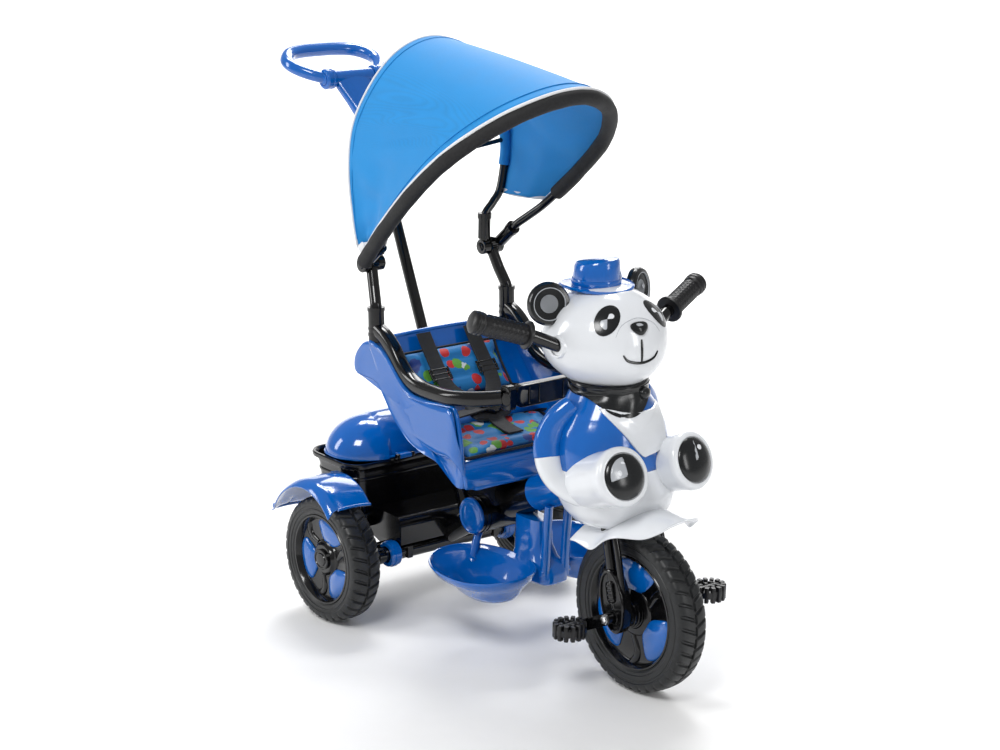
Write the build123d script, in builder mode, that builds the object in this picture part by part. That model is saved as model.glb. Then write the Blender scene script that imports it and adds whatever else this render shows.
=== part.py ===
"""Push-along children's tricycle with a panda front, a canopy and a parent handle.

Millimetres, +X forward, +Y to the child's left, +Z up from the floor.  Lengths along the
tricycle are set out as stations: the distance in front of the rear axle.
"""
import os
from math import cos, radians, sin, tan

from build123d import *

os.makedirs("parts", exist_ok=True)

# ---------------------------------------------------------------- driving dimensions
REAR_AXLE_X = -141.0          # places the middle of the tricycle's length on X = 0
WHEELBASE = 510.0
REAR_RADIUS, REAR_WIDTH, REAR_TRACK = 104.0, 54.0, 420.0
FRONT_RADIUS, FRONT_WIDTH = 125.0, 52.0
RAKE = 14.2                   # lean of the steering axis, degrees
TUBE_RISE = 25.5              # rise of the main tube towards the head, degrees
SEAT_HALF_WIDTH = 145.0
GUARD_Y = 134.0
CANOPY_PIVOT = (-18.0, 122.0, 578.0)   # station, half spacing, height
FRONT_BOW_TILT = 41.0         # the front bow's plane above the horizontal
PUSH_LEAN = 24.4              # backward lean of the push tube from the vertical
FIT = 0.05                    # running clearance on a radius
GAP = 0.4                     # clearance between faces that move past each other


def station(distance):
    """X of a place at a distance in front of the rear axle."""
    return REAR_AXLE_X + distance


def steer(along, ahead=0.0, side=0.0):
    """A point at a distance up the steering axis from the front axle."""
    lean = radians(RAKE)
    x = station(WHEELBASE) - along * sin(lean) + ahead * cos(lean)
    z = FRONT_RADIUS + along * cos(lean) + ahead * sin(lean)
    return Vector(x, side, z)


def side_plane(y, x=0.0, z=0.0):
    """A plane that faces right, with its own x forward and its own y up."""
    return Plane(origin=(x, y, z), x_dir=(1, 0, 0), z_dir=(0, -1, 0))


def rod(start, end, radius):
    """Add a round bar between two points."""
    start, end = Vector(start), Vector(end)
    with BuildSketch(Plane(origin=start, z_dir=end - start)) as section:
        Circle(radius)
    extrude(section.sketch, amount=(end - start).length)


def bored_rod(start, end, radius, bore):
    """Add a round bar between two points and drill it right through."""
    rod(start, end, radius)
    start, end = Vector(start), Vector(end)
    with BuildSketch(Plane(origin=start, z_dir=end - start)) as section:
        Circle(bore)
    extrude(section.sketch, amount=(end - start).length, mode=Mode.SUBTRACT)


def drill(start, end, radius):
    """Take a round hole between two points out of the part."""
    start, end = Vector(start), Vector(end)
    with BuildSketch(Plane(origin=start, z_dir=end - start)) as section:
        Circle(radius)
    extrude(section.sketch, amount=(end - start).length, mode=Mode.SUBTRACT)


def bent_bar(points, bend, radius):
    """Add a round bar that follows straight runs joined by arcs."""
    with BuildLine() as path:
        FilletPolyline(*points, radius=bend)
    with BuildSketch(Plane(origin=path.line @ 0, z_dir=path.line % 0)) as section:
        Circle(radius)
    sweep(section.sketch, path=path.line)


def oval_loft(sections, mode=Mode.ADD):
    """Add a smooth body through level ovals: (middle x, height, half length, half width)."""
    faces = []
    for x, z, half_length, half_width in sections:
        with BuildSketch(Plane(origin=(x, 0, z))) as oval:
            Ellipse(half_length, half_width)
        faces.append(oval.sketch)
    loft(faces, mode=mode)


def egg(center, half_length, half_width, half_height, mode=Mode.ADD):
    """Add an ellipsoid, built as a scaled sphere."""
    ball = Solid.make_sphere(1, angle1=-90, angle2=90, angle3=360)
    add(scale(ball, by=(half_length, half_width, half_height), mode=Mode.PRIVATE)
        .moved(Location(center)), mode=mode)


# ---------------------------------------------------------------- wheels
AXLE_ROD = 6.0
WHEELS = {
    "front": (station(WHEELBASE), 0.0, FRONT_RADIUS, FRONT_WIDTH),
    "rear_right": (station(0), -REAR_TRACK / 2, REAR_RADIUS, REAR_WIDTH),
    "rear_left": (station(0), REAR_TRACK / 2, REAR_RADIUS, REAR_WIDTH),
}
WEB_HALF = 11.0               # half thickness of the spoked web
PETAL_HALF = 8.0              # half thickness of the blue petal inserts
PETAL_REACH, PETAL_ROOT = 0.64, 0.26      # petal's outer and inner radius over the wheel's
PETAL_TURNS = (90, 210, 330)
HUB_DRUM = 34.0               # how far the front hub's drums stand out from the middle


def petal_shapes(x, y, radius, half_thickness, mode):
    """Add or cut three rounded sectors about a wheel's axle."""
    for turn in PETAL_TURNS:
        with BuildSketch(side_plane(y + half_thickness, x, radius)) as sector:
            with BuildLine():
                outer = CenterArc((0, 0), PETAL_REACH * radius, turn - 40, 80)
                inner = CenterArc((0, 0), PETAL_ROOT * radius, turn - 24, 48)
                Line(outer @ 0, inner @ 0)
                Line(outer @ 1, inner @ 1)
            make_face()
            fillet(sector.vertices(), 0.05 * radius)
        extrude(sector.sketch, amount=2 * half_thickness, mode=mode)


for wheel, (x, y, radius, width) in WHEELS.items():
    half = width / 2
    seat = 0.72 * radius      # radius where the tyre sits on the rim
    axle_line = Axis((x, y, radius), (0, 1, 0))
    across = Plane(origin=(x, y, radius), x_dir=(0, 1, 0), z_dir=(1, 0, 0))

    with BuildPart() as tyre:
        with BuildSketch(across):
            with BuildLine():
                Polyline((-half + 5, seat), (-half, seat + 4), (-half, radius - 14),
                         (-half + 8, radius - 3), (-half + 15, radius), (half - 15, radius),
                         (half - 8, radius - 3), (half, radius - 14), (half, seat + 4),
                         (half - 5, seat), close=True)
            make_face()
        revolve(axis=axle_line)
    tyre.part.label = f"{wheel}_tyre"
    export_step(tyre.part, f"parts/{wheel}_tyre.step")

    with BuildPart() as petals:
        petal_shapes(x, y, radius, PETAL_HALF, Mode.ADD)
    petals.part.label = f"{wheel}_petals"
    export_step(petals.part, f"parts/{wheel}_petals.step")

    hub_half = HUB_DRUM if wheel == "front" else half - 8
    with BuildPart() as rim:
        with BuildSketch(across):
            with Locations((0, seat - 3)):
                Rectangle(width - 12, 6)
            with Locations((0, seat / 2)):
                Rectangle(2 * WEB_HALF, seat - 12)
            with Locations((0, 13)):
                Rectangle(2 * hub_half, 26)
            with Locations((0, seat - 9)):
                Rectangle(2 * WEB_HALF, 10)
        revolve(axis=axle_line)
        petal_shapes(x, y, radius, WEB_HALF, Mode.SUBTRACT)
        drill((x, y - width, radius), (x, y + width, radius), AXLE_ROD + FIT)
    rim.part.label = f"{wheel}_rim"
    export_step(rim.part, f"parts/{wheel}_rim.step")

    if wheel != "front":
        outward = 1 if y > 0 else -1
        with BuildPart() as cap:
            rod((x, y + outward * (half - 8), radius), (x, y + outward * (half - 1), radius), 19)
        cap.part.label = f"{wheel}_hub_cap"
        export_step(cap.part, f"parts/{wheel}_hub_cap.step")

# ---------------------------------------------------------------- cranks and pedals
CRANK_BACK, CRANK_DROP = 48.0, 24.0       # the right pedal stands behind and below the axle
CRANK_THROW = (CRANK_BACK ** 2 + CRANK_DROP ** 2) ** 0.5
CRANK_Y, CRANK_HALF = 64.0, 5.0
PEDAL_INNER, PEDAL_OUTER = 71.0, 124.0
PEDAL_LENGTH, PEDAL_HEIGHT = 50.0, 24.0
SPINDLE = 4.0
axle_x = station(WHEELBASE)

with BuildPart() as crank:
    rod((axle_x, -CRANK_Y, FRONT_RADIUS), (axle_x, CRANK_Y, FRONT_RADIUS), AXLE_ROD)
    for side in (-1, 1):
        pedal_x, pedal_z = axle_x + side * CRANK_BACK, FRONT_RADIUS + side * CRANK_DROP
        middle = Vector(axle_x + pedal_x, 0, FRONT_RADIUS + pedal_z) * 0.5
        arm_plane = Plane(origin=(middle.X, side * CRANK_Y + CRANK_HALF, middle.Z),
                          x_dir=(CRANK_BACK, 0, CRANK_DROP), z_dir=(0, -1, 0))
        with BuildSketch(arm_plane) as arm:
            SlotCenterToCenter(CRANK_THROW, 18)
        extrude(arm.sketch, amount=2 * CRANK_HALF)
        rod((pedal_x, side * CRANK_Y, pedal_z), (pedal_x, side * (PEDAL_OUTER - 2), pedal_z), SPINDLE)
crank.part.label = "crank"
export_step(crank.part, "parts/crank.step")

for name, side in (("right", -1), ("left", 1)):
    pedal_x, pedal_z = axle_x + side * CRANK_BACK, FRONT_RADIUS + side * CRANK_DROP
    pedal_y = side * (PEDAL_INNER + PEDAL_OUTER) / 2
    with BuildPart(Plane(origin=(pedal_x, pedal_y, pedal_z))) as pedal:
        Box(PEDAL_LENGTH, PEDAL_OUTER - PEDAL_INNER, PEDAL_HEIGHT)
        with Locations((-PEDAL_LENGTH / 2, 0), (PEDAL_LENGTH / 2, 0)):
            with GridLocations(1, 13, 1, 4):
                Box(8, 6, PEDAL_HEIGHT + 2, mode=Mode.SUBTRACT)
        drill((pedal_x, 0, pedal_z), (pedal_x, side * 2 * PEDAL_OUTER, pedal_z), SPINDLE + FIT)
    pedal.part.label = f"pedal_{name}"
    export_step(pedal.part, f"parts/pedal_{name}.step")

# ---------------------------------------------------------------- steel frame
TUBE_RADIUS = 19.0
BARREL_X, BARREL_Z, BARREL_RADIUS, BARREL_HALF = station(172), 192.0, 29.0, 56.0
CROSS_X, CROSS_Z, CROSS_RADIUS, CROSS_HALF = station(36), 101.0, 13.0, 117.0
TUBE_FOOT = Vector(BARREL_X, 0, 200)
HEAD_LOW, HEAD_HIGH = 180.0, 256.0        # head tube's ends, measured up the steering axis
HEAD_JOINT = 217.7            # where the main tube's axis meets the steering axis
FRAME_TAIL = Vector(station(20), 0, 104)
STEERER = 12.5
TUBE_WALL, BORE_LENGTH = 2.0, 260.0
COVER_START, SLEEVE_START, SLEEVE_END = 31.0, 108.0, 190.0
COVER_RADIUS, COVER_BORE = 27.0, TUBE_RADIUS + 0.2


def up_tube(along, side=0.0):
    """A point at a distance up the main tube's axis from its foot."""
    return TUBE_FOOT + Vector(along * cos(radians(TUBE_RISE)), side, along * sin(radians(TUBE_RISE)))


with BuildPart() as frame_solid:
    rod(up_tube(0), steer(HEAD_JOINT), TUBE_RADIUS)
    rod(FRAME_TAIL, up_tube(0), TUBE_RADIUS)
    rod(steer(HEAD_LOW), steer(HEAD_HIGH), TUBE_RADIUS)
    split(bisect_by=Plane(origin=(CROSS_X, 0, 0), z_dir=(1, 0, 0)), keep=Keep.TOP)
    drill(steer(HEAD_LOW - 60), steer(HEAD_HIGH + 60), STEERER + FIT)
    drill((CROSS_X, -50, CROSS_Z), (CROSS_X, 50, CROSS_Z), CROSS_RADIUS)

with BuildPart() as main_frame:
    add(frame_solid.part)
    drill(FRAME_TAIL, up_tube(0), TUBE_RADIUS - TUBE_WALL)
    drill(up_tube(0), up_tube(BORE_LENGTH), TUBE_RADIUS - TUBE_WALL)
main_frame.part.label = "main_frame"
export_step(main_frame.part, "parts/main_frame.step")

with BuildPart() as tube_sleeve:
    bored_rod(up_tube(SLEEVE_START), up_tube(SLEEVE_END), BARREL_RADIUS, COVER_BORE)
tube_sleeve.part.label = "tube_sleeve"
export_step(tube_sleeve.part, "parts/tube_sleeve.step")

with BuildPart() as pivot_barrel:
    rod((BARREL_X, -BARREL_HALF, BARREL_Z), (BARREL_X, BARREL_HALF, BARREL_Z), BARREL_RADIUS)
    add(frame_solid.part, mode=Mode.SUBTRACT)
pivot_barrel.part.label = "pivot_barrel"
export_step(pivot_barrel.part, "parts/pivot_barrel.step")

with BuildPart() as pivot_caps:
    for side in (-1, 1):
        rod((BARREL_X, side * BARREL_HALF, BARREL_Z), (BARREL_X, side * (BARREL_HALF + 4), BARREL_Z),
            BARREL_RADIUS)
    fillet(pivot_caps.edges().group_by(Axis.Y)[0] + pivot_caps.edges().group_by(Axis.Y)[-1], 1.5)
pivot_caps.part.label = "pivot_caps"
export_step(pivot_caps.part, "parts/pivot_caps.step")

AXLE_END = REAR_TRACK / 2 + REAR_WIDTH / 2 - 8.5
with BuildPart() as rear_axle:
    rod((station(0), -AXLE_END, REAR_RADIUS), (station(0), AXLE_END, REAR_RADIUS), AXLE_ROD)
rear_axle.part.label = "rear_axle"
export_step(rear_axle.part, "parts/rear_axle.step")

COLLAR_WIDTH, TUB_FLOOR = 20.0, 128.0
with BuildPart() as axle_collars:
    for side in (-1, 1):
        collar_y = side * CROSS_HALF
        bored_rod((CROSS_X, collar_y - side * 8, CROSS_Z), (CROSS_X, collar_y + side * 12, CROSS_Z),
                  20, CROSS_RADIUS)
axle_collars.part.label = "axle_collars"
export_step(axle_collars.part, "parts/axle_collars.step")

with BuildPart() as cross_tube:
    rod((CROSS_X, -CROSS_HALF, CROSS_Z), (CROSS_X, CROSS_HALF, CROSS_Z), CROSS_RADIUS)
    for side in (-1, 1):
        with BuildSketch(side_plane(side * 90 + 5)) as plate:
            with BuildLine():
                Polyline((station(52), 92), (station(52), 112), (station(10), TUB_FLOOR),
                         (station(-100), TUB_FLOOR), (station(-100), TUB_FLOOR - 8),
                         (station(-12), 94), close=True)
            make_face()
        extrude(plate.sketch, amount=10)
        with BuildSketch(side_plane(side * 145 + 5)) as arm:
            with Locations(((CROSS_X + station(0)) / 2, 102.5)):
                SlotOverall(CROSS_X - station(0) + 30, 30)
        extrude(arm.sketch, amount=10)
        rod((CROSS_X, side * CROSS_HALF, CROSS_Z), (CROSS_X, side * 141, CROSS_Z), 12)
    drill((station(0), -200, REAR_RADIUS), (station(0), 200, REAR_RADIUS), AXLE_ROD)
    drill((CROSS_X, -200, CROSS_Z), (CROSS_X, 200, CROSS_Z), CROSS_RADIUS - TUBE_WALL)
    add(frame_solid.part, mode=Mode.SUBTRACT)
cross_tube.part.label = "cross_tube"
export_step(cross_tube.part, "parts/cross_tube.step")

# ---------------------------------------------------------------- storage tub
TUB_REAR, TUB_FRONT, TUB_HALF, RIM_Z = station(-148), station(-10), 164.0, 244.0
TUB_X = (TUB_REAR + TUB_FRONT) / 2
TUB_LENGTH = TUB_FRONT - TUB_REAR
HINGE_X, HINGE_Z, HINGE_Y = TUB_FRONT + 4, RIM_Z + 4, 60.0
HINGE_PIN, KNUCKLE_HALF, LUG_STEP = 2.0, 11.0, 15.0


def tub_block(length, width, floor_z, top_z, corner, mode=Mode.ADD):
    """Add or cut a tapered block with rounded corners, as large as given at its top."""
    faces = []
    for z, shrink in ((floor_z, 26), (top_z, 0)):
        with BuildSketch(Plane(origin=(TUB_X, 0, z))) as level:
            RectangleRounded(length - shrink, width - shrink, corner)
        faces.append(level.sketch)
    loft(faces, mode=mode)


with BuildPart() as storage_tub:
    tub_block(TUB_LENGTH - 16, 2 * TUB_HALF - 16, TUB_FLOOR, RIM_Z, 28)
    with BuildSketch(Plane.XY.offset(RIM_Z - 5)) as rim_level:
        with Locations((TUB_X, 0)):
            RectangleRounded(TUB_LENGTH, 2 * TUB_HALF, 34)
    extrude(rim_level.sketch, amount=5)
    tub_block(TUB_LENGTH - 23, 2 * TUB_HALF - 23, TUB_FLOOR + 3.5, RIM_Z, 25, mode=Mode.SUBTRACT)
    for side in (-1, 1):
        for ear in (HINGE_Y - LUG_STEP, HINGE_Y + LUG_STEP):
            with BuildSketch(side_plane(side * ear + 3)) as lug:
                with Locations((HINGE_X - 1, RIM_Z + 1)):
                    Rectangle(8, 8)
                with Locations((HINGE_X, HINGE_Z)):
                    Circle(4)
            extrude(lug.sketch, amount=6)
        rod((HINGE_X, side * (HINGE_Y - LUG_STEP), HINGE_Z),
            (HINGE_X, side * (HINGE_Y + LUG_STEP), HINGE_Z), HINGE_PIN)
storage_tub.part.label = "storage_tub"
export_step(storage_tub.part, "parts/storage_tub.step")

# ---------------------------------------------------------------- moulded frame covers
CASING_REAR, CASING_FRONT, CASING_HALF = station(-29), station(50), 108.0
CASING_LOW, CASING_HIGH, CASING_WALL, CASING_CORNER = 116.0, 162.0, 3.0, 16.0


def casing_block(inset, mode=Mode.ADD):
    """Add or cut the casing over the cross tube: its top front edge is rounded."""
    with BuildSketch(side_plane(CASING_HALF - inset)) as profile:
        with BuildLine():
            Polyline((CASING_REAR, CASING_LOW), (CASING_REAR, CASING_HIGH - inset),
                     (CASING_FRONT - inset, CASING_HIGH - inset), (CASING_FRONT - inset, CASING_LOW), close=True)
        make_face()
        fillet(profile.vertices().group_by(Axis.Z)[-1].sort_by(Axis.X)[-1], CASING_CORNER - inset)
    extrude(profile.sketch, amount=2 * (CASING_HALF - inset), mode=mode)


with BuildPart() as tube_cover:
    casing_block(0)
    casing_block(CASING_WALL, mode=Mode.SUBTRACT)
    add(storage_tub.part, mode=Mode.SUBTRACT)
    add(frame_solid.part, mode=Mode.SUBTRACT)
    bored_rod(up_tube(COVER_START), up_tube(SLEEVE_START), COVER_RADIUS, COVER_BORE)
    drill((BARREL_X, -80, BARREL_Z), (BARREL_X, 80, BARREL_Z), BARREL_RADIUS)
tube_cover.part.label = "tube_cover"
export_step(tube_cover.part, "parts/tube_cover.step")

# ---------------------------------------------------------------- domed lid
LID_HALF_LENGTH, LID_RISE, LID_WALL, LID_MIDDLE = TUB_LENGTH / 2 - 2, 63.0, 3.0, 80.0
LID_END = 78.0                # reach of each rounded end past the barrel crown


def lid_dome(inset, mode=Mode.ADD):
    """Add or cut the lid's barrel crown with a rounded end on each side."""
    with BuildSketch(side_plane(LID_MIDDLE, TUB_X, RIM_Z)) as crown:
        Ellipse(LID_HALF_LENGTH - inset, LID_RISE - inset)
    extrude(crown.sketch, amount=2 * LID_MIDDLE, mode=mode)
    for side in (-1, 1):
        egg((TUB_X, side * LID_MIDDLE, RIM_Z), LID_HALF_LENGTH - inset - 0.8, LID_END - inset,
            LID_RISE - inset - 0.8, mode=mode)


with BuildPart() as trunk_lid:
    lid_dome(0)
    lid_dome(LID_WALL, mode=Mode.SUBTRACT)
    split(bisect_by=Plane.XY.offset(RIM_Z + GAP), keep=Keep.TOP)
    for side in (-1, 1):
        start, end = side * HINGE_Y - KNUCKLE_HALF, side * HINGE_Y + KNUCKLE_HALF
        rod((HINGE_X, start, HINGE_Z), (HINGE_X, end, HINGE_Z), 4.5)
        with BuildSketch(side_plane(end)) as tab:
            with Locations((HINGE_X - 7, HINGE_Z + 1)):
                Rectangle(12, 6)
        extrude(tab.sketch, amount=2 * KNUCKLE_HALF)
        drill((HINGE_X, start - 9, HINGE_Z), (HINGE_X, end + 9, HINGE_Z), HINGE_PIN + FIT)
trunk_lid.part.label = "trunk_lid"
export_step(trunk_lid.part, "parts/trunk_lid.step")

# ---------------------------------------------------------------- rear fenders
FENDER_INNER, FENDER_OUTER, FENDER_WALL = 172.0, 255.0, 3.0
FENDER_LINE = [(52, 204), (28, 224), (-8, 236), (-45, 231), (-78, 212), (-104, 186), (-124, 163)]
FENDER_TAIL, TAIL_RADIUS = (-127, 162), 5.0

for name, side in (("right", -1), ("left", 1)):
    with BuildPart() as fender:
        with BuildSketch(side_plane(max(side * FENDER_INNER, side * FENDER_OUTER))) as strip:
            with BuildLine():
                top = Spline(*[(station(s), z) for s, z in FENDER_LINE])
                under = Spline(*[(station(s), z - FENDER_WALL) for s, z in FENDER_LINE])
                Line(top @ 0, under @ 0)
                Line(top @ 1, under @ 1)
            make_face()
        extrude(strip.sketch, amount=FENDER_OUTER - FENDER_INNER)
        rod((station(FENDER_TAIL[0]), side * FENDER_INNER, FENDER_TAIL[1]),
            (station(FENDER_TAIL[0]), side * FENDER_OUTER, FENDER_TAIL[1]), TAIL_RADIUS)
        with Locations((station(-40), side * (FENDER_INNER - 5), 210)):
            Box(50, 16, 30)
        add(storage_tub.part, mode=Mode.SUBTRACT)
    fender.part.label = f"fender_{name}"
    export_step(fender.part, f"parts/fender_{name}.step")

# ---------------------------------------------------------------- canopy posts and hubs
PIVOT_X, PIVOT_Y, PIVOT_Z = station(CANOPY_PIVOT[0]), CANOPY_PIVOT[1], CANOPY_PIVOT[2]
POST_RADIUS, SLEEVE_RADIUS, HUB_RADIUS = 9.5, 13.0, 14.0
posts = {}
for name, side in (("right", -1), ("left", 1)):
    with BuildPart() as post:
        bent_bar([(station(15), side * GUARD_Y, 458), (station(12), side * GUARD_Y, 515),
                  (station(-2), side * 128, 542), (PIVOT_X, side * PIVOT_Y, PIVOT_Z)], 24, POST_RADIUS)
        rod((station(15), side * GUARD_Y, 458), (station(12.2), side * GUARD_Y, 512), SLEEVE_RADIUS)
        drill((PIVOT_X, side * (PIVOT_Y - 20), PIVOT_Z), (PIVOT_X, side * (PIVOT_Y + 20), PIVOT_Z),
              HUB_RADIUS)
    post.part.label = f"canopy_post_{name}"
    export_step(post.part, f"parts/canopy_post_{name}.step")
    posts[name] = post.part

HUB_HALF, LUG_WIDTH, PIN_RADIUS = 6.0, 14.4, 4.0
with BuildPart() as canopy_hubs:
    for side in (-1, 1):
        rod((PIVOT_X, side * (PIVOT_Y - HUB_HALF), PIVOT_Z), (PIVOT_X, side * (PIVOT_Y + HUB_HALF), PIVOT_Z),
            HUB_RADIUS)
        rod((PIVOT_X, side * (PIVOT_Y - 19), PIVOT_Z), (PIVOT_X, side * (PIVOT_Y + 20), PIVOT_Z), PIN_RADIUS)
canopy_hubs.part.label = "canopy_hubs"
export_step(canopy_hubs.part, "parts/canopy_hubs.step")

# ---------------------------------------------------------------- seat
PAN_Z, SEAT_WALL, SIDE_WALL = 309.0, 5.0, 5.0
SEAT_SIDE = [(-2, 456), (-29, 429), (-29, 402), (31, 397), (71, 354), (120, 318), (186, 303),
             (226, 268), (246, 268), (238, 321), (222, 395), (184, 393), (131, 393), (97, 405),
             (60, 438), (20, 457)]
SEAT_INSIDE = [(6, 520), (6, 458), (36, 402), (75, 359), (123, 323), (188, PAN_Z), (300, PAN_Z), (300, 520)]
SEAT_BEHIND = [(-60, 500), (-1, 500), (-1, 455), (28, 399), (20, 380), (-60, 380)]
CUSHION_PAN = [(124, 325), (188, 310.5), (230, 310.5), (230, 324), (188, 326), (132, 340)]
CUSHION_BACK = [(76, 361.5), (38, 404), (11, 452), (24, 458), (52, 413), (90, 372)]


def side_shape(points, half_width, mode=Mode.ADD):
    """Extrude an outline of (station, height) points across the tricycle."""
    with BuildSketch(side_plane(half_width)) as outline:
        with BuildLine():
            Polyline(*[(station(s), z) for s, z in points], close=True)
        make_face()
    extrude(outline.sketch, amount=2 * half_width, mode=mode)


with BuildPart() as seat_shell:
    side_shape(SEAT_SIDE, SEAT_HALF_WIDTH)
    side_shape(SEAT_INSIDE, SEAT_HALF_WIDTH - SIDE_WALL, mode=Mode.SUBTRACT)
    side_shape(SEAT_BEHIND, SEAT_HALF_WIDTH - SIDE_WALL - 1, mode=Mode.SUBTRACT)
seat_shell.part.label = "seat_shell"
export_step(seat_shell.part, "parts/seat_shell.step")

with BuildPart() as seat_cushion:
    side_shape(CUSHION_PAN, 118)
seat_cushion.part.label = "seat_cushion"
export_step(seat_cushion.part, "parts/seat_cushion.step")

with BuildPart() as back_cushion:
    side_shape(CUSHION_BACK, 112)
back_cushion.part.label = "back_cushion"
export_step(back_cushion.part, "parts/back_cushion.step")

with BuildPart() as seat_bracket:
    with Locations((BARREL_X + 6, 0, 260)):
        Box(70, 90, 86)
    add(seat_shell.part, mode=Mode.SUBTRACT)
    add(frame_solid.part, mode=Mode.SUBTRACT)
    drill((BARREL_X, -80, BARREL_Z), (BARREL_X, 80, BARREL_Z), BARREL_RADIUS)
    drill(up_tube(0), up_tube(SLEEVE_START), COVER_RADIUS)
    drill(up_tube(SLEEVE_START), up_tube(SLEEVE_END), BARREL_RADIUS)
seat_bracket.part.label = "seat_bracket"
export_step(seat_bracket.part, "parts/seat_bracket.step")

STRAP_LINE = [(26, 464), (55, 417), (94, 377), (134, 352), (136, 355), (97, 380), (58, 420), (29, 466)]
with BuildPart() as harness_straps:
    for middle in (-48, 48):
        with BuildSketch(side_plane(middle + 14)) as strap:
            with BuildLine():
                Polyline(*[(station(s), z) for s, z in STRAP_LINE], close=True)
            make_face()
        extrude(strap.sketch, amount=28)
    with Locations((station(137), 0, 355)):
        Box(3, 124, 26)
harness_straps.part.label = "harness_straps"
export_step(harness_straps.part, "parts/harness_straps.step")

with BuildPart() as harness_hardware:
    rod((station(139), 0, 361), (station(151), 0, 364), 19)
    for middle in (-48, 48):
        with Locations((station(86), middle, 396)):
            Box(5, 34, 22, rotation=(0, -45, 0))
    add(harness_straps.part, mode=Mode.SUBTRACT)
harness_hardware.part.label = "harness_hardware"
export_step(harness_hardware.part, "parts/harness_hardware.step")

# ---------------------------------------------------------------- guard ring
RAIL_RADIUS = 11.5
BAR_X, BAR_Z, BAR_DEPTH, BAR_HEIGHT = station(292), 421.0, 15.0, 35.0
LATCH_Y, BAR_PIN_Y = 78.0, 66.0
BAR_PIN, CHEEK = 4.0, 3.5
FORK_MIDDLE_Y, FORK_LENGTH, SLOT_LENGTH = 70.0, 46.0, 82.0
for name, side in (("right", -1), ("left", 1)):
    with BuildPart() as rail:
        bent_bar([(station(16), side * GUARD_Y, 479), (station(60), side * GUARD_Y, 456),
                  (station(97), side * GUARD_Y, 420), (station(131), side * GUARD_Y, 407),
                  (station(205), side * GUARD_Y, 408), (station(248), side * 118, 415),
                  (BAR_X - 4, side * 92, BAR_Z)], 26, RAIL_RADIUS)
        if side < 0:
            with Locations((BAR_X, side * (LATCH_Y + 8), BAR_Z)):
                Box(24, 15, BAR_HEIGHT + 4)
        else:
            with Locations((BAR_X, FORK_MIDDLE_Y, BAR_Z)):
                Box(BAR_DEPTH + 2 * GAP + 2 * CHEEK, FORK_LENGTH, BAR_HEIGHT + 3)
            with Locations((BAR_X, BAR_PIN_Y - 20, BAR_Z)):
                Box(BAR_DEPTH + 2 * GAP, SLOT_LENGTH, 100, mode=Mode.SUBTRACT)
            rod((BAR_X - 10, BAR_PIN_Y, BAR_Z), (BAR_X + 10, BAR_PIN_Y, BAR_Z), BAR_PIN)
        add(posts[name], mode=Mode.SUBTRACT)
        add(seat_shell.part, mode=Mode.SUBTRACT)
    rail.part.label = f"guard_rail_{name}"
    export_step(rail.part, f"parts/guard_rail_{name}.step")

with BuildPart() as guard_bar:
    with BuildSketch(Plane.YZ.offset(BAR_X - BAR_DEPTH / 2)) as front:
        with Locations(((BAR_PIN_Y - LATCH_Y) / 2, BAR_Z)):
            Rectangle(BAR_PIN_Y + LATCH_Y, BAR_HEIGHT)
        with Locations((BAR_PIN_Y, BAR_Z)):
            Circle(BAR_HEIGHT / 2)
    extrude(front.sketch, amount=BAR_DEPTH)
    drill((BAR_X - 30, BAR_PIN_Y, BAR_Z), (BAR_X + 30, BAR_PIN_Y, BAR_Z), BAR_PIN + FIT)
guard_bar.part.label = "guard_bar"
export_step(guard_bar.part, "parts/guard_bar.step")

# ---------------------------------------------------------------- canopy
BOW_RADIUS, FOAM_RADIUS = 7.0, 14.0
LUG_REACH = HUB_HALF + GAP + LUG_WIDTH / 2
REAR_LUG_Y, FRONT_LUG_Y = PIVOT_Y - LUG_REACH, PIVOT_Y + LUG_REACH
# each bow as (half width, distance from the pivot) in its own plane
REAR_BOW = [(REAR_LUG_Y, 0), (REAR_LUG_Y, 50), (141, 92), (150, 162), (143, 214), (112, 268), (72, 311),
            (26, 334)]
FRONT_ARCH = [(158, 120), (165, 215), (158, 300), (134, 362), (92, 418), (30, 455)]
FRONT_BOW = [(FRONT_LUG_Y, 0), (FRONT_LUG_Y, 62)] + FRONT_ARCH
FOAM_FOOT = [(FRONT_LUG_Y, 30), (FRONT_LUG_Y, 62)]     # the foam reaches lower on the right arm
CROSSBAR_RISE, CROSSBAR_HALF = 168.0, 148.0
REAR_PLANE = Plane(origin=(PIVOT_X, 0, PIVOT_Z), x_dir=(0, 1, 0), z_dir=(1, 0, 0))
tilt = radians(FRONT_BOW_TILT)
FRONT_PLANE = Plane(origin=(PIVOT_X, 0, PIVOT_Z), x_dir=(0, 1, 0), z_dir=(sin(tilt), 0, -cos(tilt)))


def bow_points(left, right, plane):
    """A bow's corners in space, up its left arm and down its right one."""
    up = [plane.from_local_coords(Vector(w, s, 0)) for w, s in left]
    down = [plane.from_local_coords(Vector(-w, s, 0)) for w, s in reversed(right)]
    return up + down


def bow(outline, plane, lug_y):
    """Add a tube bow with a pierced lug at each foot."""
    bent_bar(bow_points(outline, outline, plane), 22, BOW_RADIUS)
    for side in (-1, 1):
        rod((PIVOT_X, side * lug_y - LUG_WIDTH / 2, PIVOT_Z),
            (PIVOT_X, side * lug_y + LUG_WIDTH / 2, PIVOT_Z), 13)
    drill((PIVOT_X, -200, PIVOT_Z), (PIVOT_X, 200, PIVOT_Z), PIN_RADIUS + FIT)


with BuildPart() as rear_bow:
    bow(REAR_BOW, REAR_PLANE, REAR_LUG_Y)
    rod((PIVOT_X, -CROSSBAR_HALF, PIVOT_Z + CROSSBAR_RISE),
        (PIVOT_X, CROSSBAR_HALF, PIVOT_Z + CROSSBAR_RISE), 4)
rear_bow.part.label = "rear_bow"
export_step(rear_bow.part, "parts/rear_bow.step")

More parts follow.
